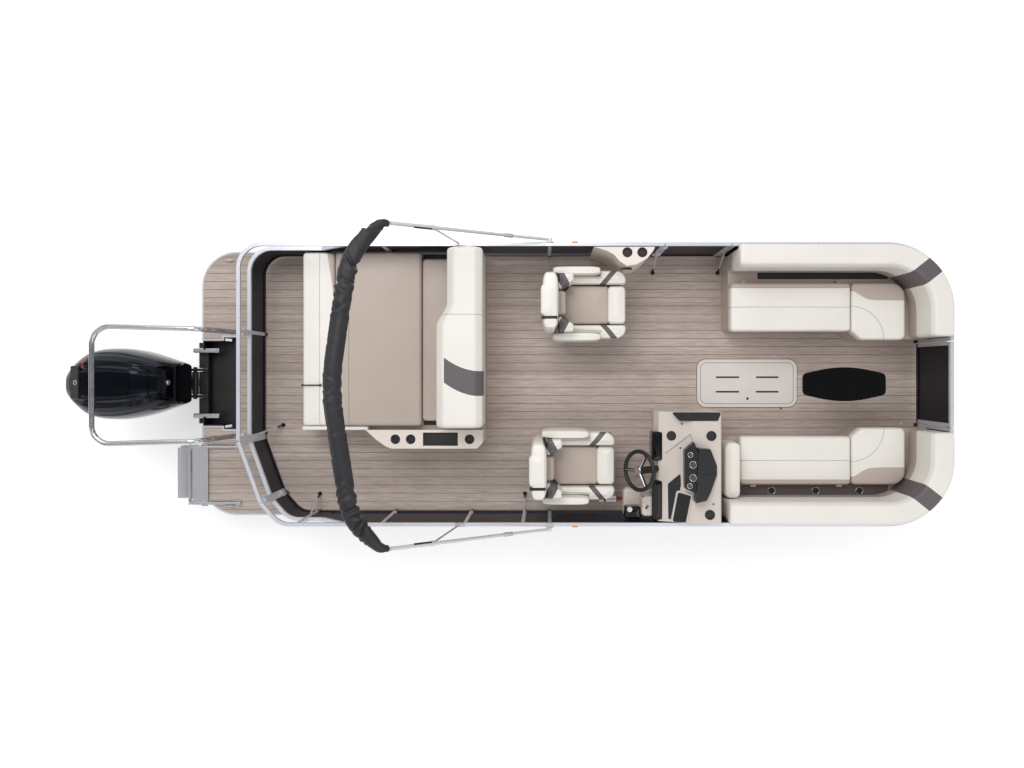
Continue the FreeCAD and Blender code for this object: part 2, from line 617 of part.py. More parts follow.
def gate_hinge(spot, along, outward, on_leaf):
    """Two knuckles beside a gate's end, joined to the post or to the leaf."""
    axis = spot + outward * (S.rail_half + S.knuckle_stand)
    pieces = []
    for low in (S.knuckle_low, S.knuckle_high):
        z = S.deck_top + low + (S.knuckle_height + S.running_gap if on_leaf else 0)
        pin = Part.makeCylinder(S.knuckle_radius, S.knuckle_height, axis + V(0, 0, z))
        way = along if on_leaf else along * -1
        start = spot + outward * (S.rail_half - 1) + way * S.gate_play
        corners = [start, start + way * 25, start + way * 25 + outward * 12, axis + outward * 5,
                   axis - outward * 5]
        raised = [c + V(0, 0, z) for c in corners]
        tab = Part.Face(Part.makePolygon(raised + raised[:1])).extrude(V(0, 0, S.knuckle_height))
        pieces.append(joined([pin, tab]))
    return pieces


def gate_ends():
    """For each gate: hinge end, latch end and the side that its knuckles stand on."""
    play = S.gate_play / 2
    bow = (V(S.bow_fence, -S.bow_gate_half - play, 0), V(S.bow_fence, S.bow_gate_half + play, 0), V(1, 0, 0))
    port = (V(S.side_gate_aft - play, S.fence_side, 0), V(S.side_gate_fore + play, S.fence_side, 0),
            V(0, -1, 0))
    hinge = V(-S.stern_gate_out_x, -S.stern_gate_out, 0)
    latch = V(-S.stern_fence, -S.stern_gate_in + S.rail_half, 0)
    along = (latch - hinge).normalize()
    stern = (hinge + along * play, latch, V(along.y, -along.x, 0))
    return {"bow": bow, "port": port, "stern": stern}


def fences():
    gates = gate_ends()
    port_posts = [(-S.post_aft, S.fence_side), (-S.post_fore, S.fence_side),
                  (-S.post_mid, S.fence_side), (-S.stern_fence, S.tow_start_half)]
    starboard_posts = [(-S.post_aft, -S.fence_side), (-S.post_mid, -S.fence_side),
                       (-S.post_fore, -S.fence_side), (S.side_gate_fore, -S.fence_side),
                       (-S.brace_aft, -S.fence_side), (-S.brace_fore, -S.fence_side)]
    gate_post = S.gate_play + S.rail_half
    stern_end = -S.stern_gate_in + S.rail_size + S.gate_play
    port_braces = [(S.side_gate_aft - gate_post, S.fence_side, V(0, -1, 0)),
                   (-S.stern_fence, stern_end, V(1, S.stern_brace_lean, 0))]
    bow_braces = [(S.side_gate_fore + gate_post, S.fence_side, V(0, -1, 0))]
    starboard_braces = [(-S.brace_aft, -S.fence_side, V(0, 1, 0)), (-S.brace_fore, -S.fence_side, V(0, 1, 0))]
    frames = {"port_aft": fence_frame("port_aft", port_posts, port_braces, True),
              "port_bow": fence_frame("port_bow", [(S.table_x, S.fence_side)], bow_braces, False),
              "starboard": fence_frame("starboard", starboard_posts, starboard_braces, True)}
    for gate, run in (("bow", "starboard"), ("port", "port_aft"), ("stern", "starboard")):
        hinge, latch, outward = gates[gate]
        along = (latch - hinge).normalize()
        frames[run] = joined([frames[run]] + gate_hinge(hinge, along, outward, False))
    for run, frame in frames.items():
        node("fence_frame_" + run, shaped("frame_" + run, frame))
        node("fence_skin_" + run, shaped("skin_" + run, fence_skin(run, frame)))


def fence_skin(run, frame):
    """The sheet between the rails, cut round the posts that stand in it."""
    points, radii = fence_path(run)
    half = S.skin_thick / 2
    low = S.panel_bottom + S.rail_size
    tall = ribbon(points, radii, half, -half, low, S.rail_top - S.rail_size)
    if run == "port_bow":
        return tall.cut(frame)
    short = ribbon(points, radii, half, -half, low, S.low_rail - S.rail_size)
    level = short.common(brick((-9000, -S.low_end), (-9000, 9000), (0, 3000)))
    ahead = slanted(tall, False).common(brick((-S.low_end, 9000), (-9000, 9000), (0, 3000)))
    return joined([level, ahead]).cut(frame)


def gates():
    for gate, (hinge, latch, outward) in gate_ends().items():
        along = (latch - hinge).normalize()
        play = S.gate_play / 2
        start = hinge + along * play
        end = latch - along * play
        leaf_path = [start, end]
        half = S.rail_half
        top = S.rail_top
        low_stern = gate == "stern"
        panel_top = S.low_rail if low_stern else top
        rails = [ribbon(leaf_path, [], half, -half, top - S.rail_size, top),
                 ribbon(leaf_path, [], half, -half, S.panel_bottom, S.panel_bottom + S.rail_size)]
        if low_stern:
            rails.append(ribbon(leaf_path, [], half, -half, S.low_rail - S.rail_size, S.low_rail))
        for spot in (start + along * half, end - along * half):
            rails.append(fence_post(spot.x, spot.y, S.panel_bottom, top, along))
        frame = joined(rails + gate_hinge(hinge, along, outward, True))
        node(f"gate_{gate}_frame", shaped(f"leaf_{gate}", frame))
        skin_half = S.skin_thick / 2
        skin = ribbon(leaf_path, [], skin_half, -skin_half, S.panel_bottom + S.rail_size,
                      panel_top - S.rail_size).cut(frame)
        node(f"gate_{gate}_skin", shaped(f"leaf_skin_{gate}", skin))


# Bow lounge


def bow_base_outline(aft, sign):
    inner = f"{sign}bow_base_inner"
    end_inner = f"{sign}bow_base_end_inner"
    outer = f"{sign}bow_base_side"
    return [(aft, inner), ("bow_corner_start", inner), ("bow_corner_start + 90", end_inner),
            ("bow_base_end", end_inner), ("bow_base_end", outer), (aft, outer)]


def bow_lounge_bases():
    """The two moulded seat boxes at the bow, open under their bench lids."""
    bases = []
    for name, sign, aft in (("port", "", "bow_base_aft"), ("starboard", "-", "bow_base_aft_starboard")):
        box = prism(f"bow_base_{name}", "XY", bow_base_outline(aft, sign), "deck_top", "base_top",
                    [((4,), "bow_corner_radius - 35"), ((0, 5), "40")])
        near = "bow_base_inner + lounge_wall"
        far = "bow_bench_back - lounge_wall"
        span = (near, far) if sign == "" else (f"-({far})", f"-({near})")
        seat_aft = "bow_base_aft" if sign == "" else "bow_bench_aft_starboard"
        hollow = block(f"bow_hollow_{name}",
                       (f"{seat_aft} + lounge_wall * 2", "bow_corner_start - lounge_wall"), span,
                       ("deck_top + lounge_wall", "base_top + 10"))
        open_box = cut(f"bow_box_{name}", box, hollow)
        brackets = []
        for number, start in enumerate((f"{seat_aft} + 110", "bow_corner_start - 120")):
            near = "bow_bench_back + lid_hinge_stand"
            far = "bow_bench_back + lid_hinge_stand + 24"
            y = (near, far) if sign == "" else (f"-({far})", f"-({near})")
            brackets.append(block(f"bow_bracket_{name}{number}", (start, f"{start} + 50"), y,
                                  ("base_top", "deck_top + lid_hinge_height - 8")))
        bases.append(fuse(f"bow_base_whole_{name}", [open_box] + brackets))
    node("bow_lounge_bases", group("bow_bases", bases))


def bow_bench(label, sign, aft):
    """The long cushion that is the lid of its seat box."""
    inner = f"{sign}(bow_base_inner - 10)"
    back = f"{sign}bow_bench_back"
    y = (inner, back) if sign == "" else (back, inner)
    pad = prism(label + "_pad", "XY",
                [(aft, y[0]), ("bow_corner_start - seat_gap", y[0]),
                 ("bow_corner_start - seat_gap", y[1]), (aft, y[1])],
                "seat_bottom", "seat_top", [((0, 3), "25")])
    node(label, pad)


def bow_corner_cushions():
    pads = []
    for name, sign in (("port", ""), ("starboard", "-")):
        outline = [("bow_corner_start", f"{sign}(bow_base_inner - 10)"),
                   ("bow_corner_start + 90", f"{sign}(bow_base_end_inner - 10)"),
                   ("bow_seat_end", f"{sign}(bow_base_end_inner - 10)"),
                   ("bow_seat_end", f"{sign}bow_bench_back"), ("bow_corner_start", f"{sign}bow_bench_back")]
        pads.append(prism(f"bow_corner_{name}", "XY", outline, "seat_bottom", "seat_top",
                          [((2,), "seat_corner / 3"), ((3,), "seat_corner")]))
    node("bow_corner_cushions", group("bow_corners", pads))


def bow_backrests():
    """Backs that follow the fence, with a lip that hangs over the side rail."""
    backs = []
    for sign, aft in ((1, S.bow_base_aft), (-1, S.bow_base_aft_starboard)):
        points = plan((aft, sign * S.fence_side), (S.bow_fence, sign * S.fence_side),
                      (S.bow_fence, sign * (S.bow_gate_half + 45)))
        inward = -sign
        near = inward * S.back_stand
        far = inward * (S.back_stand + S.back_thick)
        body = ribbon(points, [S.bow_corner_radius], max(near, far), min(near, far),
                      S.seat_bottom, S.back_top)
        side_only = plan((aft, sign * S.fence_side), (S.bow_fence - S.bow_corner_radius, sign * S.fence_side))
        outer = inward * -8
        lip = ribbon(side_only, [], max(outer, near), min(outer, near),
                     S.rail_top + 5, S.back_top)
        backs.append(joined([body, lip]))
    node("bow_backrests", shaped("bow_backs", Part.makeCompound(backs)))


def bow_arm_pad():
    outer = "-(fence_side - back_stand - back_thick - seat_gap)"
    pad = prism("arm_pad", "XY",
                [("bow_base_aft_starboard", "-bow_base_inner - arm_pad_set"),
                 ("bow_base_aft_starboard + arm_pad_length", "-bow_base_inner - arm_pad_set"),
                 ("bow_base_aft_starboard + arm_pad_length", outer), ("bow_base_aft_starboard", outer)],
                "seat_bottom", "deck_top + arm_pad_top", [((0, 1, 2, 3), "30")])
    node("bow_arm_pad", pad)


# Aft lounge


def aft_lounge():
    base = prism("aft_base", "XY",
                 [("-aft_base_aft", "-aft_base_inner"), ("-aft_base_fore", "-aft_base_inner"),
                  ("-aft_base_fore", "aft_base_side"), ("-aft_base_aft", "aft_base_side")],
                 "deck_top", "base_top", [((0, 3), "aft_base_corner")])
    node("aft_lounge_base", base)
    stern = block("aft_cushion", ("-aft_base_aft", "-aft_pad_seam - seat_gap"),
                  ("-aft_cushion_inner", "aft_base_side"), ("seat_bottom", "aft_pad_top - aft_cushion_drop"))
    node("aft_lounge_cushion", stern)
    pad = block("aft_pad", ("-aft_pad_seam", "-aft_strip_fore - seat_gap"),
                ("-aft_cushion_inner", "aft_base_side"), ("seat_bottom", "aft_pad_top"))
    node("aft_lounge_pad", pad)
    raised = prism("aft_back_side", "XZ",
                   [("-aft_back_aft", "seat_bottom"), ("-aft_back_fore - aft_back_foot", "seat_bottom"),
                    ("-aft_back_fore", "back_top - aft_back_bevel"),
                    ("-aft_back_fore - aft_back_bevel", "back_top"),
                    ("-aft_back_aft + aft_back_top_run", "back_top"),
                    ("-aft_back_aft + aft_back_lean", "back_top - aft_back_shoulder")],
                   "-aft_cushion_inner", "aft_base_side", [((3, 4), "aft_back_round")])
    inner = "-aft_back_aft + aft_back_step"
    plan_outline = [("-aft_back_aft", "-aft_cushion_inner"), ("-aft_back_fore", "-aft_cushion_inner"),
                    ("-aft_back_fore", "aft_base_side"), (inner, "aft_base_side"),
                    (inner, "aft_back_turn"), ("-aft_back_aft", "aft_back_turn - aft_back_bend")]
    bent = prism("aft_back_plan", "XY", plan_outline, "seat_bottom", "back_top",
                 [((4, 5), "aft_back_bend_radius")])
    back = common("aft_back", raised, bent)
    node("aft_lounge_backrest", back)


def aft_side_console():
    """The moulded box along the aft lounge, with cup holders and a tray."""
    inner = "-aft_base_inner"
    aft = "-side_box_aft"
    fore = "-side_box_fore"
    step = "(side_box_inner - aft_base_inner) / 2"
    outline = [(aft, inner), (f"{aft} + side_box_slope * 0.4", f"{inner} - {step}"),
               (f"{aft} + side_box_slope * 0.75", f"{inner} - {step} * 1.7"),
               (f"{aft} + side_box_slope", "-side_box_inner"), (f"{fore} - {step} * 0.6", "-side_box_inner"),
               (fore, f"-side_box_inner + {step} * 0.6"), (fore, inner)]
    box = prism("side_box", "XY", outline, "deck_top", "side_top")
    holes = []
    first_cup = f"{aft} + side_box_slope + side_cup_aft"
    for number, x in enumerate((first_cup, f"{first_cup} + cup_pitch", f"{fore} - side_cup_fore")):
        holes.append(rod(f"side_cup{number}", (x, "side_cup_line", "side_top - cup_depth"), "cup_radius",
                         "cup_depth + 10"))
    tray = block("side_tray", (f"{aft} + side_box_slope + side_tray_aft", f"{fore} - side_tray_fore"),
                 ("-side_box_inner + side_tray_edge", "-side_box_inner + side_tray_reach"),
                 ("side_top - side_tray_depth", "side_top + 10"))
    node("aft_side_console", cut("side_box_open", box, fuse("side_holes", holes + [tray])))


# Consoles and helm


def helm_console():
    """The console's body, sloped toward the driver, with three cup holders."""
    profile = [("helm_aft + console_foot", "deck_top"), ("helm_fore", "deck_top"),
               ("helm_fore", "helm_top"), ("helm_fore - console_top_run", "helm_top"),
               ("helm_aft + console_lip_run", "helm_top - console_lip_drop"),
               ("helm_aft + console_nose_run", "deck_top + helm_shelf + console_nose_rise"),
               ("helm_aft", "deck_top + helm_shelf - console_nose_drop")]
    body = prism("console_body", "XZ", profile, "-helm_starboard", "-helm_port",
                 [((2, 5), "console_round")])
    cups = []
    spots = (("helm_aft + cup_aft_set", "-helm_port - cup_aft_side"),
             ("helm_fore - cup_fore_set", "-helm_port - cup_fore_side"),
             ("helm_fore - cup_last_set", "-helm_starboard + cup_last_side"))
    for number, (x, y) in enumerate(spots):
        cups.append(rod(f"console_cup{number}", (x, y, "helm_top - console_cup_floor"), "cup_radius",
                        "cup_depth * 2"))
    node("helm_console", cut("console_open", body, fuse("console_cups", cups)))


def hood(outline, aft_edge, fore_edge, low):
    """A plan outline raised from a level to a slanted top between two edges of x and z."""
    raised = Part.Face(Part.makePolygon(outline + outline[:1])).extrude(V(0, 0, 1000))
    raised.translate(V(0, 0, low))
    reach = 2000
    slope = (fore_edge[1] - aft_edge[1]) / (fore_edge[0] - aft_edge[0])
    spots = [V(aft_edge[0] - 10, -reach, low), V(fore_edge[0] + 10, -reach, low),
             V(fore_edge[0] + 10, -reach, fore_edge[1] + 10 * slope),
             V(aft_edge[0] - 10, -reach, aft_edge[1] - 10 * slope)]
    under = Part.Face(Part.makePolygon(spots + spots[:1])).extrude(V(0, reach * 2, 0))
    return raised.common(under)


def helm_dash():
    """The gauge pod, screen, steering column and throttle box on the console."""
    tilt = math.radians(S.wheel_tilt)
    normal = V(-math.sin(tilt), 0, math.cos(tilt))
    centre = V(S.wheel_x, -S.wheel_side, S.deck_top + S.wheel_height)
    column_end = centre - normal * (S.wheel_grip * 2 + S.running_gap)
    column = bar(column_end, column_end - normal * S.column_length, S.column_radius)
    fore, side, top = S.helm_fore, -S.wheel_side, S.helm_top
    pod_plan = plan((fore - 337, side + 182), (fore - 261, side + 259), (fore - 216, side + 126),
                    (fore - 225, side - 100), (fore - 249, side - 185), (fore - 333, side - 148))
    pod = hood(pod_plan, (fore - 337, top + S.pod_aft_rise), (fore - 216, top + S.pod_fore_rise),
               top - S.pod_sink)
    screen_plan = plan((fore - 229, side + 207), (fore - 112, side + 195), (fore - 47, side + 45),
                       (fore - 47, side - 36), (fore - 112, side - 188), (fore - 152, side - 253),
                       (fore - 253, side - 262))
    screen = hood(screen_plan, (fore - 253, top + S.screen_aft_rise), (fore - 47, top + S.screen_fore_rise),
                  top - S.screen_sink)
    shelf = S.deck_top + S.helm_shelf
    throttle = brick((S.helm_aft - S.throttle_reach, S.helm_aft + S.throttle_bury),
                     (-S.throttle_side - S.throttle_half, -S.throttle_side + S.throttle_half),
                     (shelf - S.throttle_drop, shelf + S.throttle_rise))
    lever_low = shelf + S.throttle_rise - 10
    lever = bar(V(S.helm_aft - S.lever_foot, -S.throttle_side, lever_low),
                V(S.helm_aft - S.lever_end, -S.throttle_side, lever_low + S.lever_length), S.lever_radius)
    body = document.getObject("console_open").Shape
    pieces = [column, pod, screen, joined([throttle, lever])]
    left = joined(pieces).cut(body)
    keep = [solid for solid in left.Solids if solid.CenterOfMass.x < S.helm_fore and solid.Volume > 50000]
    node("helm_dash", shaped("dash", Part.makeCompound(keep)))


def steering_wheel():
    rim = Part.makeTorus(S.wheel_radius, S.wheel_grip)
    hub = Part.makeCylinder(S.column_radius + S.hub_grow, S.wheel_grip * 3, V(0, 0, -S.wheel_grip * 2))
    spokes = []
    for turn in (0, 120, 240):
        spoke = brick((0, S.wheel_radius), (-S.spoke_half, S.spoke_half), (-8, 4))
        spoke.rotate(V(0, 0, 0), V(0, 0, 1), turn + 180)
        spokes.append(spoke)
    place = FreeCAD.Placement(V(S.wheel_x, -S.wheel_side, S.deck_top + S.wheel_height),
                              FreeCAD.Rotation(V(0, 1, 0), -S.wheel_tilt))
    node("steering_wheel", shaped("wheel", joined([rim, hub] + spokes), place))


def side_console():
    """The moulded locker by the port seat, bowed toward the aisle, with two cup holders."""
    wall = "inner_side - side_console_play"
    aft = "side_console_x - side_console_length / 2"
    long = "side_console_length"
    deep = "side_console_depth"
    outline = [(aft, wall)]
    bow = ((0.20, 0.19), (0.32, 0.39), (0.42, 0.74), (0.54, 1), (0.71, 0.91), (0.87, 0.61), (0.97, 0.21))
    for along, reach in bow:
        outline.append((f"{aft} + {long} * {along}", f"{wall} - {deep} * {reach}"))
    outline.append((f"{aft} + {long}", wall))
    body = prism("side_console_body", "XY", outline, "deck_top", "side_console_top")
    cups = []
    for number in (0, 1):
        spot = (f"side_console_x + side_console_cup + side_console_cup_pitch * {number}",
                f"{wall} - side_console_cup_side", "side_console_top - cup_depth")
        cups.append(rod(f"side_console_cup{number}", spot, "cup_radius", "cup_depth + 10"))
    node("side_console", cut("side_console_open", body, fuse("side_console_cups", cups)))


def fire_bottle():
    base = V(S.bottle_x, -S.bottle_side, S.deck_top + S.bottle_radius)
    body = bar(base, base + V(S.bottle_length * 0.75, 0, 0), S.bottle_radius)
    neck = bar(base, base + V(S.bottle_length, 0, 0), S.bottle_radius * 0.5)
    node("fire_bottle", shaped("bottle", joined([body, neck])))


# Chairs


def chair_pedestals():
    posts = []
    for name, x, y in (("helm", "helm_chair_x", "-helm_chair_side"),
                       ("guest", "guest_chair_x", "guest_chair_side")):
        flange = rod(name + "_flange", (x, y, "deck_top"), "flange_radius", "flange_thick")
        post = rod(name + "_post", (x, y, "deck_top"), "post_radius", "post_height")
        posts.append(fuse(name + "_pedestal", [flange, post]))
    node("chair_pedestals", group("pedestals", posts))


def chair(label, x, y):
    """A swivel chair: shell with back, arms and side bolsters, and the seat cushion in it."""
    low = "post_top + running_gap"
    back_face = f"{x} - chair_back_reach + chair_back_thick"
    front = f"{x} + chair_front"
    pan_half = "(chair_roll_half + seat_gap * 3)"
    parts = [block(label + "_pan", (back_face, front), (f"{y} - {pan_half}", f"{y} + {pan_half}"),
                   (low, f"{low} + chair_pan"))]
    parts.append(prism(label + "_back", "XY",
                       [(f"{x} - chair_back_reach", f"{y} - chair_half"), (back_face, f"{y} - chair_half"),
                        (back_face, f"{y} + chair_half"), (f"{x} - chair_back_reach", f"{y} + chair_half")],
                       low, "deck_top + chair_back_top", [((0, 3), "chair_back_round")]))
    for side, word in (("-", "starboard"), ("+", "port")):
        arm_in = f"{y} {side} (chair_arm_half - chair_arm_width)"
        arm_out = f"{y} {side} chair_arm_half"
        parts.append(prism(f"{label}_arm_{word}", "XY",
                           [(f"{x} - chair_arm_aft", arm_in), (f"{x} + chair_arm_fore", arm_in),
                            (f"{x} + chair_arm_fore", arm_out), (f"{x} - chair_arm_aft", arm_out)],
                           low, "deck_top + chair_arm_top", [((1, 2), "chair_arm_round")]))
        seat_side = f"{y} {side} (chair_roll_half + seat_gap)"
        shell_side = f"{y} {side} (chair_arm_half - chair_arm_width)"
        nose = f"{y} {side} chair_nose_half"
        parts.append(prism(f"{label}_bolster_{word}", "XY",
                           [(back_face, seat_side), (front, seat_side), (front, nose),
                            (f"{x} + chair_arm_fore", nose), (f"{x} + chair_arm_fore", shell_side),
                            (back_face, shell_side)],
                           low, "deck_top + chair_bolster_top", [((2,), "chair_nose_radius")]))
        parts.append(prism(f"{label}_wing_{word}", "XY",
                           [(back_face, f"{y} {side} chair_wing_in"),
                            (f"{back_face} + chair_wing_reach", seat_side),
                            (f"{back_face} + chair_wing_reach", shell_side), (back_face, shell_side)],
                           low, "deck_top + chair_wing_top"))
    node(label + "_shell", fuse(label + "_frame", parts))
    tail = "(chair_wing_in - seat_gap * 2)"
    heel = f"{back_face} + chair_seat_play"
    shoulder = f"{back_face} + chair_wing_reach + seat_gap"
    node(label + "_seat", prism(label + "_cushion", "XY",
                                [(heel, f"{y} - {tail}"), (shoulder, f"{y} - chair_roll_half"),
                                 (front, f"{y} - chair_roll_half"), (front, f"{y} + chair_roll_half"),
                                 (shoulder, f"{y} + chair_roll_half"), (heel, f"{y} + {tail}")],
                                f"{low} + chair_pan", "deck_top + chair_seat_top",
                                [((2, 3), "chair_seat_round")]))


# Table and locker


def table():
    outline = [("table_x - table_length / 2", "-table_end_half"), ("table_x", "-table_width / 2"),
               ("table_x + table_length / 2", "-table_end_half"),
               ("table_x + table_length / 2", "table_end_half"), ("table_x", "table_width / 2"),
               ("table_x - table_length / 2", "table_end_half")]
    node("table_top", prism("table_board", "XY", outline, "table_top - table_thick", "table_top",
                            [((0, 2, 3, 5), "table_corner"), ((1, 4), "table_bulge_radius")]))
    post = rod("table_stem", ("table_x", "0", "deck_top"), "table_post_radius",
               "table_height - table_thick")
    foot = rod("table_foot", ("table_x", "0", "deck_top"), "table_post_radius * 3", "table_foot_thick")
    node("table_post", fuse("table_stand", [post, foot]))


def locker_plan(name, margin, low, high):
    """The locker's rounded plan, grown by a margin, between two levels."""
    (x0, x1), (y0, y1) = locker_span("x", margin), locker_span("y", margin)
    return prism(name, "XY", [(x0, y0), (x1, y0), (x1, y1), (x0, y1)], low, high,
                 [((0, 1, 2, 3), f"locker_corner + ({margin})")])


def locker():
    """The floor hatch and the tub that hangs under it in the centre tube."""
    lid = locker_plan("locker_board", "0", "deck_top - lid_thick", "deck_top")
    node("locker_lid", lid)
    top = "deck_top - lid_thick - running_gap"
    outer = locker_plan("tub_outer", "0", "tub_bottom", top)
    inner = locker_plan("tub_inner", "-tub_wall", "tub_bottom + tub_wall", "deck_top + 10")
    node("locker_tub", cut("tub", outer, inner))


# Stern


def ladder_rails():
    """The fixed part of the boarding ladder: two deck tubes and the top tread."""
    z = S.deck_top + S.ladder_rail_radius + S.ladder_rail_stand
    hinge = V(-S.ladder_hinge_x, 0, S.deck_top - S.ladder_drop)
    pieces = []
    for y in (-S.ladder_side_in, -S.ladder_side_out):
        route = [V(-S.ladder_foot, y, z), V(-S.ladder_hinge_x + S.ladder_drop_run, y, z),
                 V(hinge.x, y, hinge.z - S.ladder_bend)]
        pieces.append(tube(route, [S.ladder_bend], S.ladder_rail_radius))
        for aft in (-S.ladder_foot - S.ladder_pad_length, -S.deck_length / 2):
            pieces.append(brick((aft, aft + S.ladder_pad_length),
                                (y - S.ladder_pad_half, y + S.ladder_pad_half), (S.deck_top, z - 5)))
    pieces.append(bar(V(hinge.x, -S.ladder_side_out - S.ladder_pin_end, hinge.z),
                      V(hinge.x, -S.ladder_side_in + S.ladder_pin_end, hinge.z), S.ladder_pin))
    step = -S.ladder_hinge_x + S.tread_gap
    tread = brick((step, step + S.tread_depth), (-S.ladder_side_out, -S.ladder_side_in),
                  (z - S.top_tread_half, z + S.top_tread_half))
    pieces.append(tread)
    node("ladder_rails", shaped("ladder_fixed", joined(pieces)))


def ladder_section(label, hinge, inset, long, treads, with_pin):
    """Two side bars and two treads, hanging from a pin and leaning aft."""
    near = S.ladder_side_in + S.ladder_rail_radius + S.ladder_play + inset
    far = S.ladder_side_out - S.ladder_rail_radius - S.ladder_play - inset
    half = S.ladder_bar / 2
    pieces = []
    for y in (near, far - S.ladder_bar_thick):
        side = brick((-half, half), (-y - S.ladder_bar_thick, -y), (-long, half))
        pieces.append(side)
    for z in (-treads[0], -treads[1]):
        pieces.append(brick((-S.tread_set - S.tread_depth * 0.8, -S.tread_set), (-far, -near),
                            (z - S.tread_thick, z)))
    body = joined(pieces)
    bore = Part.makeCylinder(S.ladder_pin + S.pin_play, far * 2, V(0, 0, 0), V(0, -1, 0))
    body = body.cut(bore)
    if with_pin:
        pin = Part.makeCylinder(S.ladder_pin, far - near, V(0, -near, -long + half), V(0, -1, 0))
        body = joined([body, pin])
    place = FreeCAD.Placement(hinge, FreeCAD.Rotation(V(0, 1, 0), S.ladder_lean))
    node(label, shaped(label + "_bars", body, place))


def ladder():
    ladder_rails()
    hinge = V(-S.ladder_hinge_x, 0, S.deck_top - S.ladder_drop)
    ladder_section("ladder_upper", hinge, 0, S.ladder_section, (S.tread_one, S.tread_two), True)
    lean = math.radians(S.ladder_lean)
    reach = S.ladder_section - S.ladder_bar / 2
    second = hinge + V(-math.sin(lean) * reach, 0, -math.cos(lean) * reach)
    ladder_section("ladder_lower", second, S.ladder_bar_thick + S.ladder_play,
                   S.ladder_end_section, (S.tread_three, S.tread_four), False)


def tow_bar():
    """The polished bar that rises from the stern fence and loops over the motor."""
    start_x = -S.stern_fence - S.rail_half
    low = S.deck_top + S.tow_start_height
    knee = S.deck_top + S.tow_knee_height
    high = S.deck_top + S.tow_height
    bend = S.tow_radius * 3
    side = []
    for sign in (1, -1):
        side.append([V(start_x - S.tow_radius / 2, sign * S.tow_start_half, low),
                     V(start_x - S.tow_standoff, sign * S.tow_start_half, low),
                     V(start_x - S.tow_standoff - S.tow_lean, sign * S.tow_start_half, knee),
                     V(-S.tow_end, sign * S.tow_half, high)])
    radii = [bend, bend * 1.6, S.tow_corner, S.tow_corner, bend * 1.6, bend]
    pieces = [tube(side[0] + side[1][::-1], radii, S.tow_radius)]
    for sign in (1, -1):
        flange = V(start_x, sign * S.tow_start_half, low)
        pieces.append(bar(flange, flange - V(S.tow_radius / 2 + 2, 0, 0), S.tow_radius * 1.5))
    node("tow_bar", shaped("tow_loop", joined(pieces)))


# Canopy


def canopy_place():
    """Turns the flat canopy frame about its pivot line to its stowed angle."""
    pivot = V(-S.canopy_pivot, 0, S.canopy_z)
    return FreeCAD.Placement(pivot, FreeCAD.Rotation(V(0, 1, 0), S.canopy_angle))


def canopy():
    """Two legs, and the rolled canopy in its boot as one thick crowned arch."""
    side = S.canopy_side
    legs = []
    for sign in (1, -1):
        leg = bar(V(0, sign * side, 0), V(-S.canopy_reach, sign * side, 0), S.canopy_tube)
        twin = bar(V(-S.canopy_reach * 0.25, sign * side, 10),
                   V(-S.canopy_reach + 3, sign * side, 45), S.canopy_tube * 0.85)
        eye = Part.makeCylinder(S.canopy_tube * 1.6, S.canopy_tube * 2,
                                V(0, sign * side - S.canopy_tube, 0), V(0, 1, 0))
        bore = Part.makeCylinder(S.canopy_pin + S.pin_play, 200, V(0, sign * side - 100, 0), V(0, 1, 0))
        legs.append(joined([leg, twin, eye]).cut(bore))
    node("canopy_legs", shaped("canopy_tubes", Part.makeCompound(legs), canopy_place()))
    node("canopy_boot", shaped("boot", boot_form(), canopy_place()))


def boot_form():
    """The boot: circles along the crowned arch, shrinking toward both of its ends."""
    rise = S.boot_rise
    half = [V(-S.canopy_reach, S.canopy_side - 5, rise),
            V(-S.canopy_reach - S.boot_end_run, S.canopy_side - 5, rise),
            V(-S.canopy_corner, S.canopy_corner_side, rise)]
    other = [V(p.x, -p.y, p.z) for p in reversed(half)]
    radii = [S.boot_end_run * 1.5, S.canopy_corner_radius, S.canopy_crown_radius,
             S.canopy_corner_radius, S.boot_end_run * 1.5]
    arch = Part.Wire(rounded_path(half + [V(-S.canopy_crown, 0, rise)] + other, radii))
    spots = arch.discretize(Number=33)
    rings = []
    for number, spot in enumerate(spots):
        before, after = spots[max(number - 1, 0)], spots[min(number + 1, len(spots) - 1)]
        along = V(-1, 0, 0) if number == 0 else V(1, 0, 0) if number == len(spots) - 1 else after - before
        from_end = min(number, len(spots) - 1 - number) * arch.Length / (len(spots) - 1)
        left = 1 - min(1, from_end / S.boot_taper_run)
        radius = S.boot_radius - (S.boot_radius - S.boot_end_radius) * left ** 2
        rings.append(Part.Wire(Part.makeCircle(radius, spot, along)))
    return Part.makeLoft(rings, True, False)


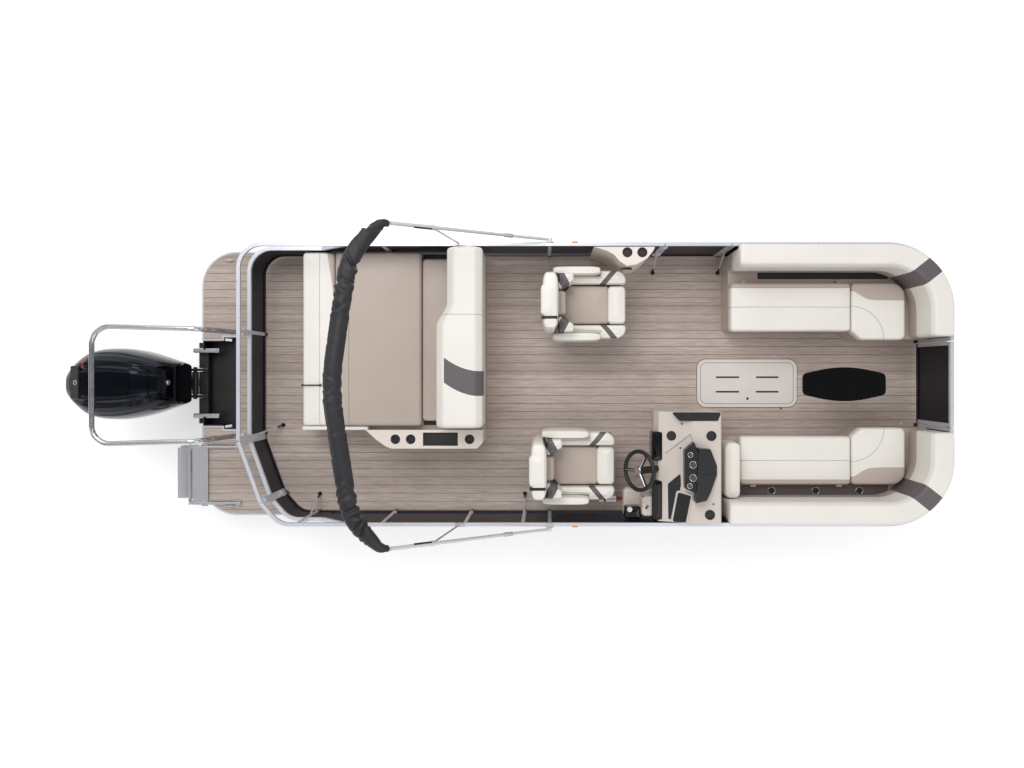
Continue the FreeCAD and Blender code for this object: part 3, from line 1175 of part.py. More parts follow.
def canopy_mounts():
    """The rail brackets with their pins, and the struts that the legs rest on."""
    pieces = []
    angle = math.radians(S.canopy_angle)
    for sign in (1, -1):
        y = sign * S.canopy_side
        rail = sign * (S.fence_side + S.rail_half)
        span = (-S.canopy_pivot - S.bracket_half, -S.canopy_pivot + S.bracket_half)
        plate = rail + sign * S.bracket_plate
        foot = brick(span, (rail, plate), (S.rail_top - S.bracket_drop, S.canopy_z + S.bracket_above))
        top = brick(span, (rail - sign * S.rail_size, plate), (S.rail_top, S.rail_top + S.bracket_plate))
        pin = Part.makeCylinder(S.canopy_pin, abs(y - rail) + S.canopy_tube,
                                V(-S.canopy_pivot, rail, S.canopy_z), V(0, sign, 0))
        pieces.append(joined([foot, top, pin]))
        rest = V(-S.canopy_pivot - math.cos(angle) * S.strut_along, y,
                 S.canopy_z + math.sin(angle) * S.strut_along)
        base = V(-S.strut_foot, sign * S.fence_side, S.rail_top)
        along = V(-math.cos(angle), 0, math.sin(angle))
        under = V(math.sin(angle), 0, math.cos(angle)) * -(S.canopy_tube + S.running_gap + S.saddle_radius)
        saddle = bar(rest + under - along * S.saddle_half, rest + under + along * S.saddle_half,
                     S.saddle_radius)
        strut = bar(base + V(0, 0, S.saddle_radius * 1.5), rest + under, S.saddle_radius)
        clip = brick((base.x - S.strut_clip_half, base.x + S.strut_clip_half),
                     (base.y - S.rail_half, base.y + S.rail_half),
                     (S.rail_top, S.rail_top + S.strut_clip_height))
        pieces.append(joined([strut, clip, saddle]))
    node("canopy_mounts", shaped("canopy_brackets", Part.makeCompound(pieces)))


# Motor


def motor_clamp():
    """The two transom brackets and the tilt tube between them."""
    pieces = []
    for number, (low, high) in enumerate((("clamp_inner", "clamp_inner + clamp_thick"),
                                          ("-clamp_inner - clamp_thick", "-clamp_inner"))):
        pieces.append(prism(f"clamp{number}", "XZ",
                            [("-transom_x", "tilt_height - clamp_drop"), ("-transom_x", "transom_top"),
                             ("-transom_x + transom_thick + clamp_over", "transom_top"),
                             ("-transom_x + transom_thick + clamp_over", "tilt_height + clamp_rise"),
                             ("-tilt_x - clamp_nose", "tilt_height + clamp_rise"),
                             ("-tilt_x - clamp_nose", "tilt_height - clamp_rise"),
                             ("-transom_x - clamp_foot", "tilt_height - clamp_drop")], low, high))
    tube_end = "(clamp_inner + clamp_thick + tilt_tube_end)"
    pieces.append(rod("tilt_bar", ("-tilt_x", f"-{tube_end}", "tilt_height"), "tilt_tube",
                      f"2 * {tube_end}", "y"))
    node("motor_clamp", fuse("clamp", pieces))


def motor_swivel():
    """The bracket that tilts on the tube and holds the steering kingpin."""
    half = "clamp_inner - swivel_side_play"
    hub = rod("swivel_hub", ("-tilt_x", f"-({half})", "tilt_height"), "tilt_tube + swivel_hub_wall",
              f"2 * ({half})", "y")
    housing = rod("swivel_housing", ("-kingpin_x", "0", "swivel_bottom"), "swivel_radius",
                  "swivel_top - swivel_bottom")
    web = block("swivel_web", ("-kingpin_x", "-tilt_x"), ("-web_half", "web_half"),
                ("swivel_bottom + web_rise", "swivel_top"))
    tilt_bore = rod("tilt_bore", ("-tilt_x", "-300", "tilt_height"), "tilt_tube + pin_play", "600", "y")
    king_bore = rod("king_bore", ("-kingpin_x", "0", "-300"), "kingpin_radius + pin_play", "1500")
    body = fuse("swivel_body", [hub, housing, web])
    node("motor_swivel", cut("swivel", body, fuse("swivel_bores", [tilt_bore, king_bore])))


def motor_leg():
    """Kingpin and yokes, the midsection, the plate, gearcase and skeg."""
    pin = rod("kingpin", ("-kingpin_x", "0", "swivel_bottom - 40"), "kingpin_radius",
              "swivel_top - swivel_bottom + 90")
    top_yoke = block("top_yoke", ("-leg_back", "-kingpin_x + yoke_reach"),
                     ("-top_yoke_half", "top_yoke_half"),
                     ("swivel_top + yoke_gap", "swivel_top + yoke_gap + yoke_thick"))
    low_yoke = block("low_yoke", ("-leg_back", "-kingpin_x + yoke_reach"),
                     ("-low_yoke_half", "low_yoke_half"),
                     ("swivel_bottom - yoke_gap - low_yoke_thick", "swivel_bottom - yoke_gap"))
    column = prism("leg_column", "XY",
                   [("-leg_back", "-leg_half"), ("-leg_front", "-leg_half"), ("-leg_front", "leg_half"),
                    ("-leg_back", "leg_half")], "plate_height", "cowl_bottom",
                   [((0, 3), "30"), ((1, 2), "20")])
    plate = prism("vent_plate", "XY",
                  [("-gear_back - plate_tail", "-plate_half"), ("-leg_front + 60", "-plate_half * 0.6"),
                   ("-leg_front + 90", "0"), ("-leg_front + 60", "plate_half * 0.6"),
                   ("-gear_back - plate_tail", "plate_half")],
                  "plate_height", "plate_height + plate_thick")
    blade = prism("gear_blade", "XZ",
                  [("-leg_back - 20", "plate_height"), ("-leg_front + 20", "plate_height"),
                   ("-gear_front - 40", "shaft_height"), ("-gear_back + 30", "shaft_height")],
                  "-blade_half", "blade_half")
    skeg = prism("skeg", "XZ",
                 [("-gear_back + 20", "shaft_height"), ("-gear_front - 60", "shaft_height"),
                  ("-gear_back + 60", "skeg_bottom"), ("-gear_back - 20", "skeg_bottom")],
                 "-skeg_half", "skeg_half")
    case = rod("gear_case", ("-gear_back", "0", "shaft_height"), "gear_radius",
               "gear_back - gear_front", "x")
    nose = document.addObject("Part::Cone", "gear_nose")
    nose.Placement.Rotation = FreeCAD.Rotation(V(0, 1, 0), 90)
    nose.setExpression("Radius1", bound("gear_radius"))
    nose.setExpression("Radius2", bound("gear_radius * 0.25"))
    nose.setExpression("Height", bound("gear_radius * 1.6"))
    nose.setExpression("Placement.Base.x", bound("-gear_front"))
    nose.setExpression("Placement.Base.z", bound("shaft_height"))
    shaft = rod("prop_shaft", ("-gear_back - prop_length - prop_shaft_end", "0", "shaft_height"),
                "prop_shaft_radius", "prop_length + prop_shaft_end * 2", "x")
    node("motor_leg", fuse("leg", [pin, top_yoke, low_yoke, column, plate, blade, skeg, case, nose, shaft]))


def cowl_section(share, inset):
    """The cowl's closed outline across the boat, at a share of its length from the front.

    It widens to its middle, narrows again aft, and its top falls away toward both ends.
    """
    widest, flat_from, flat_to = S.cowl_widest, 0.35, 0.6
    if share < widest:
        spread = math.sin(math.pi / 2 * share / widest)
        half = S.cowl_front_half + (S.cowl_half - S.cowl_front_half) * spread
    else:
        spread = ((share - widest) / (1 - widest)) ** 3
        half = S.cowl_half - (S.cowl_half - S.cowl_back_half) * spread
    fall = S.cowl_front_drop * max(0, 1 - share / flat_from) ** 2.5
    fall += S.cowl_back_drop * max(0, (share - flat_to) / (1 - flat_to)) ** 2
    top = S.cowl_top - fall - inset
    low = S.cowl_bottom - S.cowl_skirt
    half -= inset
    x = -S.cowl_front - inset - share * (S.cowl_back - S.cowl_front - inset * 2)
    points = []
    for number in range(24):
        angle = math.tau * number / 24
        across = math.copysign(abs(math.cos(angle)) ** (2 / 3), math.cos(angle))
        up = math.copysign(abs(math.sin(angle)) ** (2 / 2.7), math.sin(angle))
        points.append(V(x, half * across, (top + low) / 2 + (top - low) / 2 * up))
    curve = Part.BSplineCurve()
    curve.interpolate(points, PeriodicFlag=True)
    return Part.Wire(curve.toShape())


def cowl_form(inset):
    """A skin through the cowl's sections, cut flat at its lower edge."""
    shares = [0, 0.06, 0.15, 0.3, 0.45, 0.6, 0.75, 0.88, 0.96, 1]
    form = Part.makeLoft([cowl_section(share, inset) for share in shares], True, False)
    above = brick((-S.cowl_back - 10, -S.cowl_front + 10), (-S.cowl_half - 10, S.cowl_half + 10),
                  (S.cowl_bottom + inset, S.cowl_top + 10))
    return form.common(above)


def motor_cowl():
    node("motor_cowl", shaped("cowl", cowl_form(0).cut(cowl_form(S.cowl_wall))))
    low = "cowl_bottom + cowl_wall"
    aft = "-cowl_back + engine_set"
    node("powerhead", block("engine_block", (aft, f"{aft} + engine_length"),
                            ("-engine_half", "engine_half"), (low, f"{low} + engine_height")))


def propeller():
    """A hub on the shaft with three broad blades."""
    hub = Part.makeCylinder(S.prop_hub, S.prop_length, V(0, 0, 0), V(-1, 0, 0))
    blades = []
    for turn in range(3):
        root = S.prop_hub * 0.8
        outline = [V(-20, -35, root), V(-20, -70, S.prop_radius * 0.7), V(-20, -40, S.prop_radius * 0.97),
                   V(-20, 30, S.prop_radius * 0.97), V(-20, 75, S.prop_radius * 0.7), V(-20, 40, root)]
        blade = Part.Face(Part.makePolygon(outline + outline[:1])).extrude(V(-S.blade_thick, 0, 0))
        blade.translate(V(-S.prop_length / 2 + 25, 0, 0))
        blade.rotate(V(-S.prop_length / 2, 0, 0), V(0, 0, 1), S.blade_pitch)
        blade.rotate(V(0, 0, 0), V(1, 0, 0), 120 * turn)
        blades.append(blade)
    body = joined([hub] + blades)
    body = body.common(Part.makeCylinder(S.prop_radius, S.prop_length * 2, V(S.prop_length / 2, 0, 0),
                                         V(-1, 0, 0)))
    bore = Part.makeCylinder(S.prop_shaft_radius + S.pin_play, S.prop_length * 3,
                             V(S.prop_length, 0, 0), V(-1, 0, 0))
    body = body.cut(bore)
    place = FreeCAD.Placement(V(-S.gear_back - 1, 0, S.shaft_height), FreeCAD.Rotation())
    node("propeller", shaped("prop", body, place))


def check_and_write():
    """Stops if any object failed, then writes one file for each sub-part."""
    document.recompute()
    failed = [o.Name for o in document.Objects if "Invalid" in o.State or "Error" in o.State]
    if failed:
        raise RuntimeError("failed objects: " + ", ".join(failed))
    for piece in nodes:
        if piece.Shape.isNull() or not piece.Shape.isValid() or not piece.Shape.Solids:
            raise RuntimeError("bad shape: " + piece.Label)
    os.makedirs("parts", exist_ok=True)
    for piece in nodes:
        piece.Shape.exportStep(f"parts/{piece.Label}.step")
        print(piece.Label, len(piece.Shape.Solids), round(piece.Shape.Volume / 1e6, 2))


pontoons()
transom_pod()
cross_members()
deck()
motor_well()
deck_cleats()
fences()
gates()
bow_lounge_bases()
bow_bench("bow_bench_port", "", "bow_base_aft")
bow_bench("bow_bench_starboard", "-", "bow_bench_aft_starboard")
bow_corner_cushions()
bow_backrests()
bow_arm_pad()
aft_lounge()
aft_side_console()
helm_console()
document.recompute()
helm_dash()
steering_wheel()
side_console()
fire_bottle()
chair_pedestals()
chair("helm_chair", "helm_chair_x", "-helm_chair_side")
chair("guest_chair", "guest_chair_x", "guest_chair_side")
table()
locker()
ladder()
tow_bar()
canopy()
canopy_mounts()
motor_clamp()
motor_swivel()
motor_leg()
motor_cowl()
propeller()
check_and_write()
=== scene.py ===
import json
import math

import bmesh
import bpy
import numpy as np
from bpy.props import FloatProperty, FloatVectorProperty, PointerProperty
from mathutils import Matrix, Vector


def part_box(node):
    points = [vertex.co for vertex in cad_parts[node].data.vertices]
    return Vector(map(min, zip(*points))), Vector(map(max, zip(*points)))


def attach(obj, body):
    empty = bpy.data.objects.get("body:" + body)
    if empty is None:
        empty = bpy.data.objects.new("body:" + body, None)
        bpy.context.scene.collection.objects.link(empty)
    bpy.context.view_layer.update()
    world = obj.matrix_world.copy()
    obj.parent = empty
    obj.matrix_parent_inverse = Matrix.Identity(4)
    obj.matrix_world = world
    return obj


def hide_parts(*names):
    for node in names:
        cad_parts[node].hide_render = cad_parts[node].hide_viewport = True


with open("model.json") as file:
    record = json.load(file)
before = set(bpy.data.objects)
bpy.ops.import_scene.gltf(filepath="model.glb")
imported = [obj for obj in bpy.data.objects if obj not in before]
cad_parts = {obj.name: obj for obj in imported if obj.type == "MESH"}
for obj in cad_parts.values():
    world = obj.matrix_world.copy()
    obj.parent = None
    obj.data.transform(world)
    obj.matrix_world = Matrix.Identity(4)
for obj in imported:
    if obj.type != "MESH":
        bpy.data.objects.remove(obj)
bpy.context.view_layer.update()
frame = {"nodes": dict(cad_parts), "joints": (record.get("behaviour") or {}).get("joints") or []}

bl_info = {
    "name": "Pontoon boat",
    "version": (1, 0, 0),
    "blender": (4, 5, 0),
    "location": "View3D > Sidebar > Boat",
    "description": "Builds the looks of a fenced pontoon boat around its packed frame",
    "category": "Object",
}

JOINTS = {joint["name"]: joint for joint in frame["joints"]}
X, Y, Z = (1, 0, 0), (0, 1, 0), (0, 0, 1)
SIDES = (("port", 1), ("starboard", -1))

# Levels over the water, in metres
DECK_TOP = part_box("deck")[1][2]
BASE_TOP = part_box("aft_lounge_base")[1][2]
CUSHION_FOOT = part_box("aft_lounge_cushion")[0][2]
CUSHION_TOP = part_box("aft_lounge_cushion")[1][2] + 0.002
HELM_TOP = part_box("helm_console")[1][2]


def colour(name, red, green, blue):
    """A colour setting whose default is the plain sRGB colour given."""
    linear = [((c + 0.055) / 1.055) ** 2.4 if c > 0.04045 else c / 12.92 for c in (red, green, blue)]
    return FloatVectorProperty(name=name, description=name + " of the boat", subtype="COLOR", size=3,
                               min=0, max=1, default=linear)


def metres(name, value):
    """A length setting in metres."""
    return FloatProperty(name=name, description=name + " in metres", unit="LENGTH", default=value)


class BoatColours(bpy.types.PropertyGroup):
    plank: colour("Deck plank", 0.785, 0.728, 0.69)
    plank_dark: colour("Deck plank grain", 0.56, 0.50, 0.465)
    cream: colour("Cream vinyl", 0.905, 0.89, 0.862)
    taupe: colour("Taupe vinyl", 0.715, 0.66, 0.62)
    accent: colour("Accent vinyl", 0.36, 0.335, 0.345)
    moulding: colour("Moulded plastic", 0.80, 0.765, 0.73)
    hatch: colour("Floor hatch", 0.85, 0.82, 0.80)
    black: colour("Black plastic", 0.07, 0.07, 0.08)
    panel: colour("Fence panel", 0.065, 0.062, 0.110)
    rail: colour("Rail", 0.80, 0.81, 0.84)
    aluminium: colour("Aluminium", 0.74, 0.745, 0.76)
    canvas: colour("Canvas", 0.105, 0.103, 0.128)
    cowl: colour("Cowl paint", 0.012, 0.014, 0.030)
    amber: colour("Reflector", 0.86, 0.50, 0.16)
    red: colour("Bottle red", 0.65, 0.07, 0.06)


class BoatSizes(bpy.types.PropertyGroup):
    plank_pitch: metres("Plank pitch", 0.080)
    seam: metres("Seam width", 0.006)
    boot_radius: metres("Canopy boot radius", 0.071)
    wheel_radius: metres("Steering wheel radius", 0.170)


class BoatStage(bpy.types.PropertyGroup):
    eye_x: metres("Camera x", -0.26)
    eye_y: metres("Camera y", 0.11)
    eye_z: metres("Camera height over the water", 8.38)
    floor_size: metres("Floor width", 60.0)


# Surfaces


def around(count):
    """Evenly spaced angles once round a circle."""
    return np.linspace(0, math.tau, count, endpoint=False)


def squarish(value, power):
    """A cosine or sine to the power of two over the given one, its sign kept: a superellipse's."""
    return np.sign(value) * np.abs(value) ** (2 / power)


def square_to(normal):
    """The unit normal and two unit directions square to it and to each other."""
    normal = np.array(normal, float) / np.linalg.norm(normal)
    guide = np.array(Y if abs(normal[1]) < 0.9 else X, float)
    first = np.cross(normal, guide)
    first /= np.linalg.norm(first)
    return normal, first, np.cross(normal, first)


def ring_faces(rows, cols, joined=False):
    """Four-sided faces between rings of points; joined also runs from the last ring to the first."""
    row, col = np.meshgrid(np.arange(rows if joined else rows - 1), np.arange(cols), indexing="ij")
    after = (col + 1) % cols
    above = (row + 1) % rows * cols
    faces = np.stack([row * cols + col, row * cols + after, above + after, above + col], axis=-1)
    return faces.reshape(-1, 4).tolist()


def closed_shell(rings):
    """Rings of points as a closed skin, with one point in the middle of each end."""
    rows, cols = rings.shape[:2]
    ends = np.stack([rings[0].mean(axis=0), rings[-1].mean(axis=0)])
    points = np.concatenate([rings.reshape(-1, 3), ends])
    col = np.arange(cols)
    after = (col + 1) % cols
    last = (rows - 1) * cols
    low = np.stack([after, col, np.full(cols, rows * cols)], axis=1)
    high = np.stack([last + col, last + after, np.full(cols, rows * cols + 1)], axis=1)
    return points, ring_faces(rows, cols) + low.tolist() + high.tolist()


def open_end(corners, first):
    """The end of an open outline: its point, and the normal to the right of its run."""
    here, other = (corners[0], corners[1]) if first else (corners[-1], corners[-2])
    along = (other - here) * (1 if first else -1)
    along = along / np.linalg.norm(along)
    return here[None], np.array([[along[1], -along[0]]])


def corner_arc(before, here, after, radius, step):
    """The arc at one corner and its outward normals: its centre lies one radius from both sides."""
    back = (before - here) / np.linalg.norm(before - here)
    ahead = (after - here) / np.linalg.norm(after - here)
    turn = -back[0] * ahead[1] + back[1] * ahead[0]
    opening = math.acos(max(-1.0, min(1.0, float(back @ ahead))))
    middle = (back + ahead) / np.linalg.norm(back + ahead)
    centre = here + middle * radius / math.sin(opening / 2)
    side = 1.0 if turn > 0 else -1.0
    first = np.array([-back[1], back[0]]) * side
    last = np.array([ahead[1], -ahead[0]]) * side
    start = math.atan2(first[1], first[0])
    sweep = (math.atan2(last[1], last[0]) - start + math.pi) % math.tau - math.pi
    angles = start + np.linspace(0, sweep, max(6, int(abs(sweep) * radius / step)))
    ray = np.stack([np.cos(angles), np.sin(angles)], axis=1)
    return centre + ray * radius, ray * side


def rounded(corners, radii, step=0.012, closed=True):
    """Points and outward normals along straight runs joined by arcs at the corners.

    The straights are filled with points about one step apart. Corners run anticlockwise,
    and one radius may stand for all.
    """
    corners = np.array(corners, float)
    count = len(corners)
    radii = np.broadcast_to(radii, (count,))
    turns = []
    for number, here in enumerate(corners):
        if closed or 0 < number < count - 1:
            after = corners[(number + 1) % count]
            turns.append(corner_arc(corners[number - 1], here, after, radii[number], step))
        else:
            turns.append(open_end(corners, number == 0))
    points, normals = [], []
    for number, (arc, outward) in enumerate(turns):
        points.append(arc)
        normals.append(outward)
        if not closed and number == count - 1:
            break
        start, end = arc[-1], turns[(number + 1) % count][0][0]
        steps = int(np.linalg.norm(end - start) / step)
        if steps > 1:
            points.append(start + (end - start) * np.linspace(0, 1, steps + 1)[1:-1, None])
            normals.append(np.repeat(outward[-1:], steps - 1, axis=0))
    return np.concatenate(points), np.concatenate(normals)


def at_heights(outlines, heights):
    """Plan outlines, each lifted to its own height."""
    heights = np.broadcast_to(heights[:, None, None], outlines.shape[:2] + (1,))
    return np.concatenate([outlines, heights], axis=2)


def pad(corners, radii, low, high, edge=0.028, crown=0.012, spine=None):
    """A crowned cushion on a rounded plan outline.

    The side climbs from the flat bottom with a slight swell, turns over a quarter
    circle of radius edge, and the top is drawn in to a spine, or to its middle, while
    it rises by the crown as a quarter sine.
    """
    points, normals = rounded(corners, radii)
    shoulder = high - crown
    turn = np.linspace(0, math.pi / 2, 8)[1:]
    climb = np.linspace(0, 1, 5)
    swell = -0.002 * np.sin(climb * math.pi)
    side = low + edge * 0.5 + climb * (shoulder - edge * 1.5 - low)
    inset = np.concatenate([[edge * 0.5, edge * 0.15], swell, edge * (1 - np.cos(turn))])
    height = np.concatenate([[low, low + edge * 0.2], side, shoulder - edge + edge * np.sin(turn)])
    sides = at_heights(points[None] - normals[None] * inset[:, None, None], height)
    rim = sides[-1, :, :2]
    target = rim.mean(axis=0)
    if spine is not None:
        start, end = np.array(spine, float)
        run = end - start
        target = start + np.clip(((rim - start) @ run) / (run @ run), 0, 1)[:, None] * run
    draw = np.linspace(0, 1, 26)[1:-1]
    top = at_heights(rim[None] + (target - rim)[None] * draw[:, None, None],
                     shoulder + crown * np.sin(draw * math.pi / 2))
    return closed_shell(np.concatenate([sides, top]))


def block_pad(x, y, z, edge=0.028, crown=0.012, corner=0.035):
    """A crowned cushion on a rectangle, drawn in to the middle line of its longer side."""
    (x0, x1), (y0, y1) = x, y
    wide, deep = x1 - x0, y1 - y0
    half = min(wide, deep) / 2
    if abs(wide - deep) < 0.01:
        spine = None
    elif wide > deep:
        spine = [(x0 + half, (y0 + y1) / 2), (x1 - half, (y0 + y1) / 2)]
    else:
        spine = [((x0 + x1) / 2, y0 + half), ((x0 + x1) / 2, y1 - half)]
    return pad([(x0, y0), (x1, y0), (x1, y1), (x0, y1)], corner, z[0], z[1], edge, crown, spine)


def node_pad(node):
    """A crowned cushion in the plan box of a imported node."""
    low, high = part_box(node)
    return block_pad((low[0], high[0]), (low[1], high[1]), (CUSHION_FOOT, CUSHION_TOP))


def plate(corners, radii, low, high):
    """A flat plate on a rounded outline."""
    return pad(corners, radii, low, high, edge=0.003, crown=0.0)


def slab(x, y, z, corner, edge=0.003):
    """A flat plate on a rectangle."""
    return block_pad(x, y, z, edge, 0.0, corner)


def swept(path, normals, profile, end_round=0.03, change=None):
    """A closed profile of offset and height carried along a plan path, its ends rounded.

    Near each end the profile shrinks toward its middle as a quarter circle. A change,
    if given, moves the profile's points by the place they have along the path.
    """
    tangent = np.gradient(path, axis=0)
    tangent = tangent / np.linalg.norm(tangent, axis=1)[:, None]
    turn = np.linspace(0, math.pi / 2, 7)[1:]
    depth = end_round * (1 - np.sin(turn))
    inset = end_round * (1 - np.cos(turn))
    far = np.minimum(np.linalg.norm(path - path[0], axis=1), np.linalg.norm(path - path[-1], axis=1))
    inner = far > end_round
    places = np.concatenate([path[0] + tangent[0] * depth[::-1, None], path[inner],
                             path[-1] - tangent[-1] * depth[:, None]])
    across = np.concatenate([np.repeat(normals[:1], len(turn), axis=0), normals[inner],
                             np.repeat(normals[-1:], len(turn), axis=0)])
    insets = np.concatenate([inset[::-1], np.zeros(int(inner.sum())), inset])
    middle = profile.mean(axis=0)
    half = np.abs(profile - middle).max(axis=0)
    scale = 1 - insets[:, None] / half
    shape = middle + (profile - middle)[None] * scale[:, None, :]
    if change is not None:
        shape = change(places, shape)
    flat = places[:, None, :] + across[:, None, :] * shape[:, :, :1]
    return closed_shell(np.concatenate([flat, shape[:, :, 1:]], axis=2))


def tube(path, radius, sides=8):
    """A round tube along a path of points, with flat ends.

    Each ring is the radius times the cosine and the sine of the angle, along two
    directions square to the path and to the axis that the path runs along least.
    """
    path = np.array(path, float)
    tangent = np.gradient(path, axis=0)
    tangent /= np.linalg.norm(tangent, axis=1)[:, None]
    guide = np.eye(3)[np.abs(tangent).max(axis=0).argmin()]
    first = np.cross(tangent, guide)
    first /= np.linalg.norm(first, axis=1)[:, None]
    second = np.cross(tangent, first)
    angle = around(sides)[None, :, None]
    radius = np.broadcast_to(np.asarray(radius, float), (len(path),))
    ring = np.cos(angle) * first[:, None] + np.sin(angle) * second[:, None]
    return closed_shell(path[:, None] + ring * radius[:, None, None])


def torus(centre, radius, thick, normal=Z, sides=48, tube_sides=10):
    """A ring: a small circle carried round a large one about the normal."""
    normal, first, second = square_to(normal)
    u, v = around(sides)[:, None], around(tube_sides)[None, :]
    out = np.cos(u)[..., None] * first + np.sin(u)[..., None] * second
    points = np.array(centre, float) + out * (radius + thick * np.cos(v))[..., None]
    points = points + normal * (thick * np.sin(v))[..., None]
    return points.reshape(-1, 3), ring_faces(sides, tube_sides, joined=True)


def disc(centre, radius, thick, normal=Z):
    """A round plate that grows from a centre along its normal, its rims softened."""
    normal, first, second = square_to(normal)
    soft = min(thick, radius) * 0.2
    levels = np.array([0, soft, thick - soft, thick])
    radii = np.array([radius - soft, radius, radius, radius - soft])
    path = np.array(centre, float) + normal * levels[:, None]
    angle = around(40)[:, None]
    ring = np.cos(angle) * first + np.sin(angle) * second
    return closed_shell(path[:, None] + ring[None] * radii[:, None, None])


def stack(levels, centre, half_x, half_y, power):
    """A closed skin through rounded boxes on top of each other, one at each level.

    Each is a superellipse: both half widths times the cosine and the sine raised to
    two over the power, with their signs kept.
    """
    angle = around(72)
    flat = [centre[0] + half_x[:, None] * squarish(np.cos(angle), power),
            centre[1] + half_y[:, None] * squarish(np.sin(angle), power)]
    return closed_shell(at_heights(np.stack(flat, axis=2), levels))


def sloped(shell, start, slope):
    """A shell whose height grows along X from a start."""
    points, faces = shell
    points = points.copy()
    points[:, 2] += slope * (points[:, 0] - start)
    return points, faces


def cup_holder(place, rim_rise, floor_drop, tilt=Z, rim=0.040, well=0.037, floor=0.006, finish="boat_black"):
    """A rim round a cup's well and the dark floor in it, as two parts."""
    x, y, z = place
    rim_thick = 0.0045
    return [(torus((x, y, z + rim_rise), rim, rim_thick, tilt), finish),
            (disc((x, y, z - floor_drop), well, floor, tilt), "boat_black")]


def placed(outline, side=1, centre=(0, 0)):
    """Plan points about a centre, mirrored and run the other way to starboard."""
    return [(centre[0] + a, centre[1] + side * b) for a, b in outline][::side]


def piece(name, parts, body="hull", replaces=(), sharp=40):
    """One mesh object from parts of points, faces and material, that rides on a body."""
    points, faces, owners, materials = [], [], [], []
    start = 0
    for (part_points, part_faces), material in parts:
        if material not in materials:
            materials.append(material)
        points.append(part_points)
        faces += [[start + i for i in face] for face in part_faces]
        owners += [materials.index(material)] * len(part_faces)
        start += len(part_points)
    mesh = bpy.data.meshes.new(name)
    mesh.from_pydata(np.concatenate(points).tolist(), [], faces)
    for material in materials:
        mesh.materials.append(bpy.data.materials[material])
    mesh.polygons.foreach_set("material_index", np.array(owners, dtype=np.int32))
    work = bmesh.new()
    work.from_mesh(mesh)
    bmesh.ops.remove_doubles(work, verts=work.verts, dist=1e-6)
    bmesh.ops.recalc_face_normals(work, faces=work.faces)
    work.to_mesh(mesh)
    work.free()
    mesh.polygons.foreach_set("use_smooth", np.ones(len(mesh.polygons), dtype=bool))
    mesh.set_sharp_from_angle(angle=math.radians(sharp))
    mesh.update()
    made = bpy.data.objects.new(name, mesh)
    bpy.context.scene.collection.objects.link(made)
    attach(made, body)
    if replaces:
        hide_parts(*replaces)


def cushion(name, node, parts, body="hull"):
    """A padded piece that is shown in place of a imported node."""
    piece(name, parts, body, (node,))


# Materials


def shade(tone, factor):
    """A colour made lighter or darker."""
    return [c * factor for c in tone]


def against(direction):
    """The opposite direction."""
    return tuple(-c for c in direction)


def strip(direction, low, high):
    """The two planes that bound a strip between two places along a direction."""
    return [(direction, low), (against(direction), -high)]


def add_node(tree, kind, inputs, output=0, **settings):
    """A shader node's output; each input is a plain value or another node's output."""
    node = tree.nodes.new("ShaderNode" + kind)
    for key, value in settings.items():
        setattr(node, key, value)
    for key, value in inputs.items():
        if isinstance(value, bpy.types.NodeSocket):
            tree.links.new(value, node.inputs[key])
        else:
            node.inputs[key].default_value = value
    return node.outputs[output]


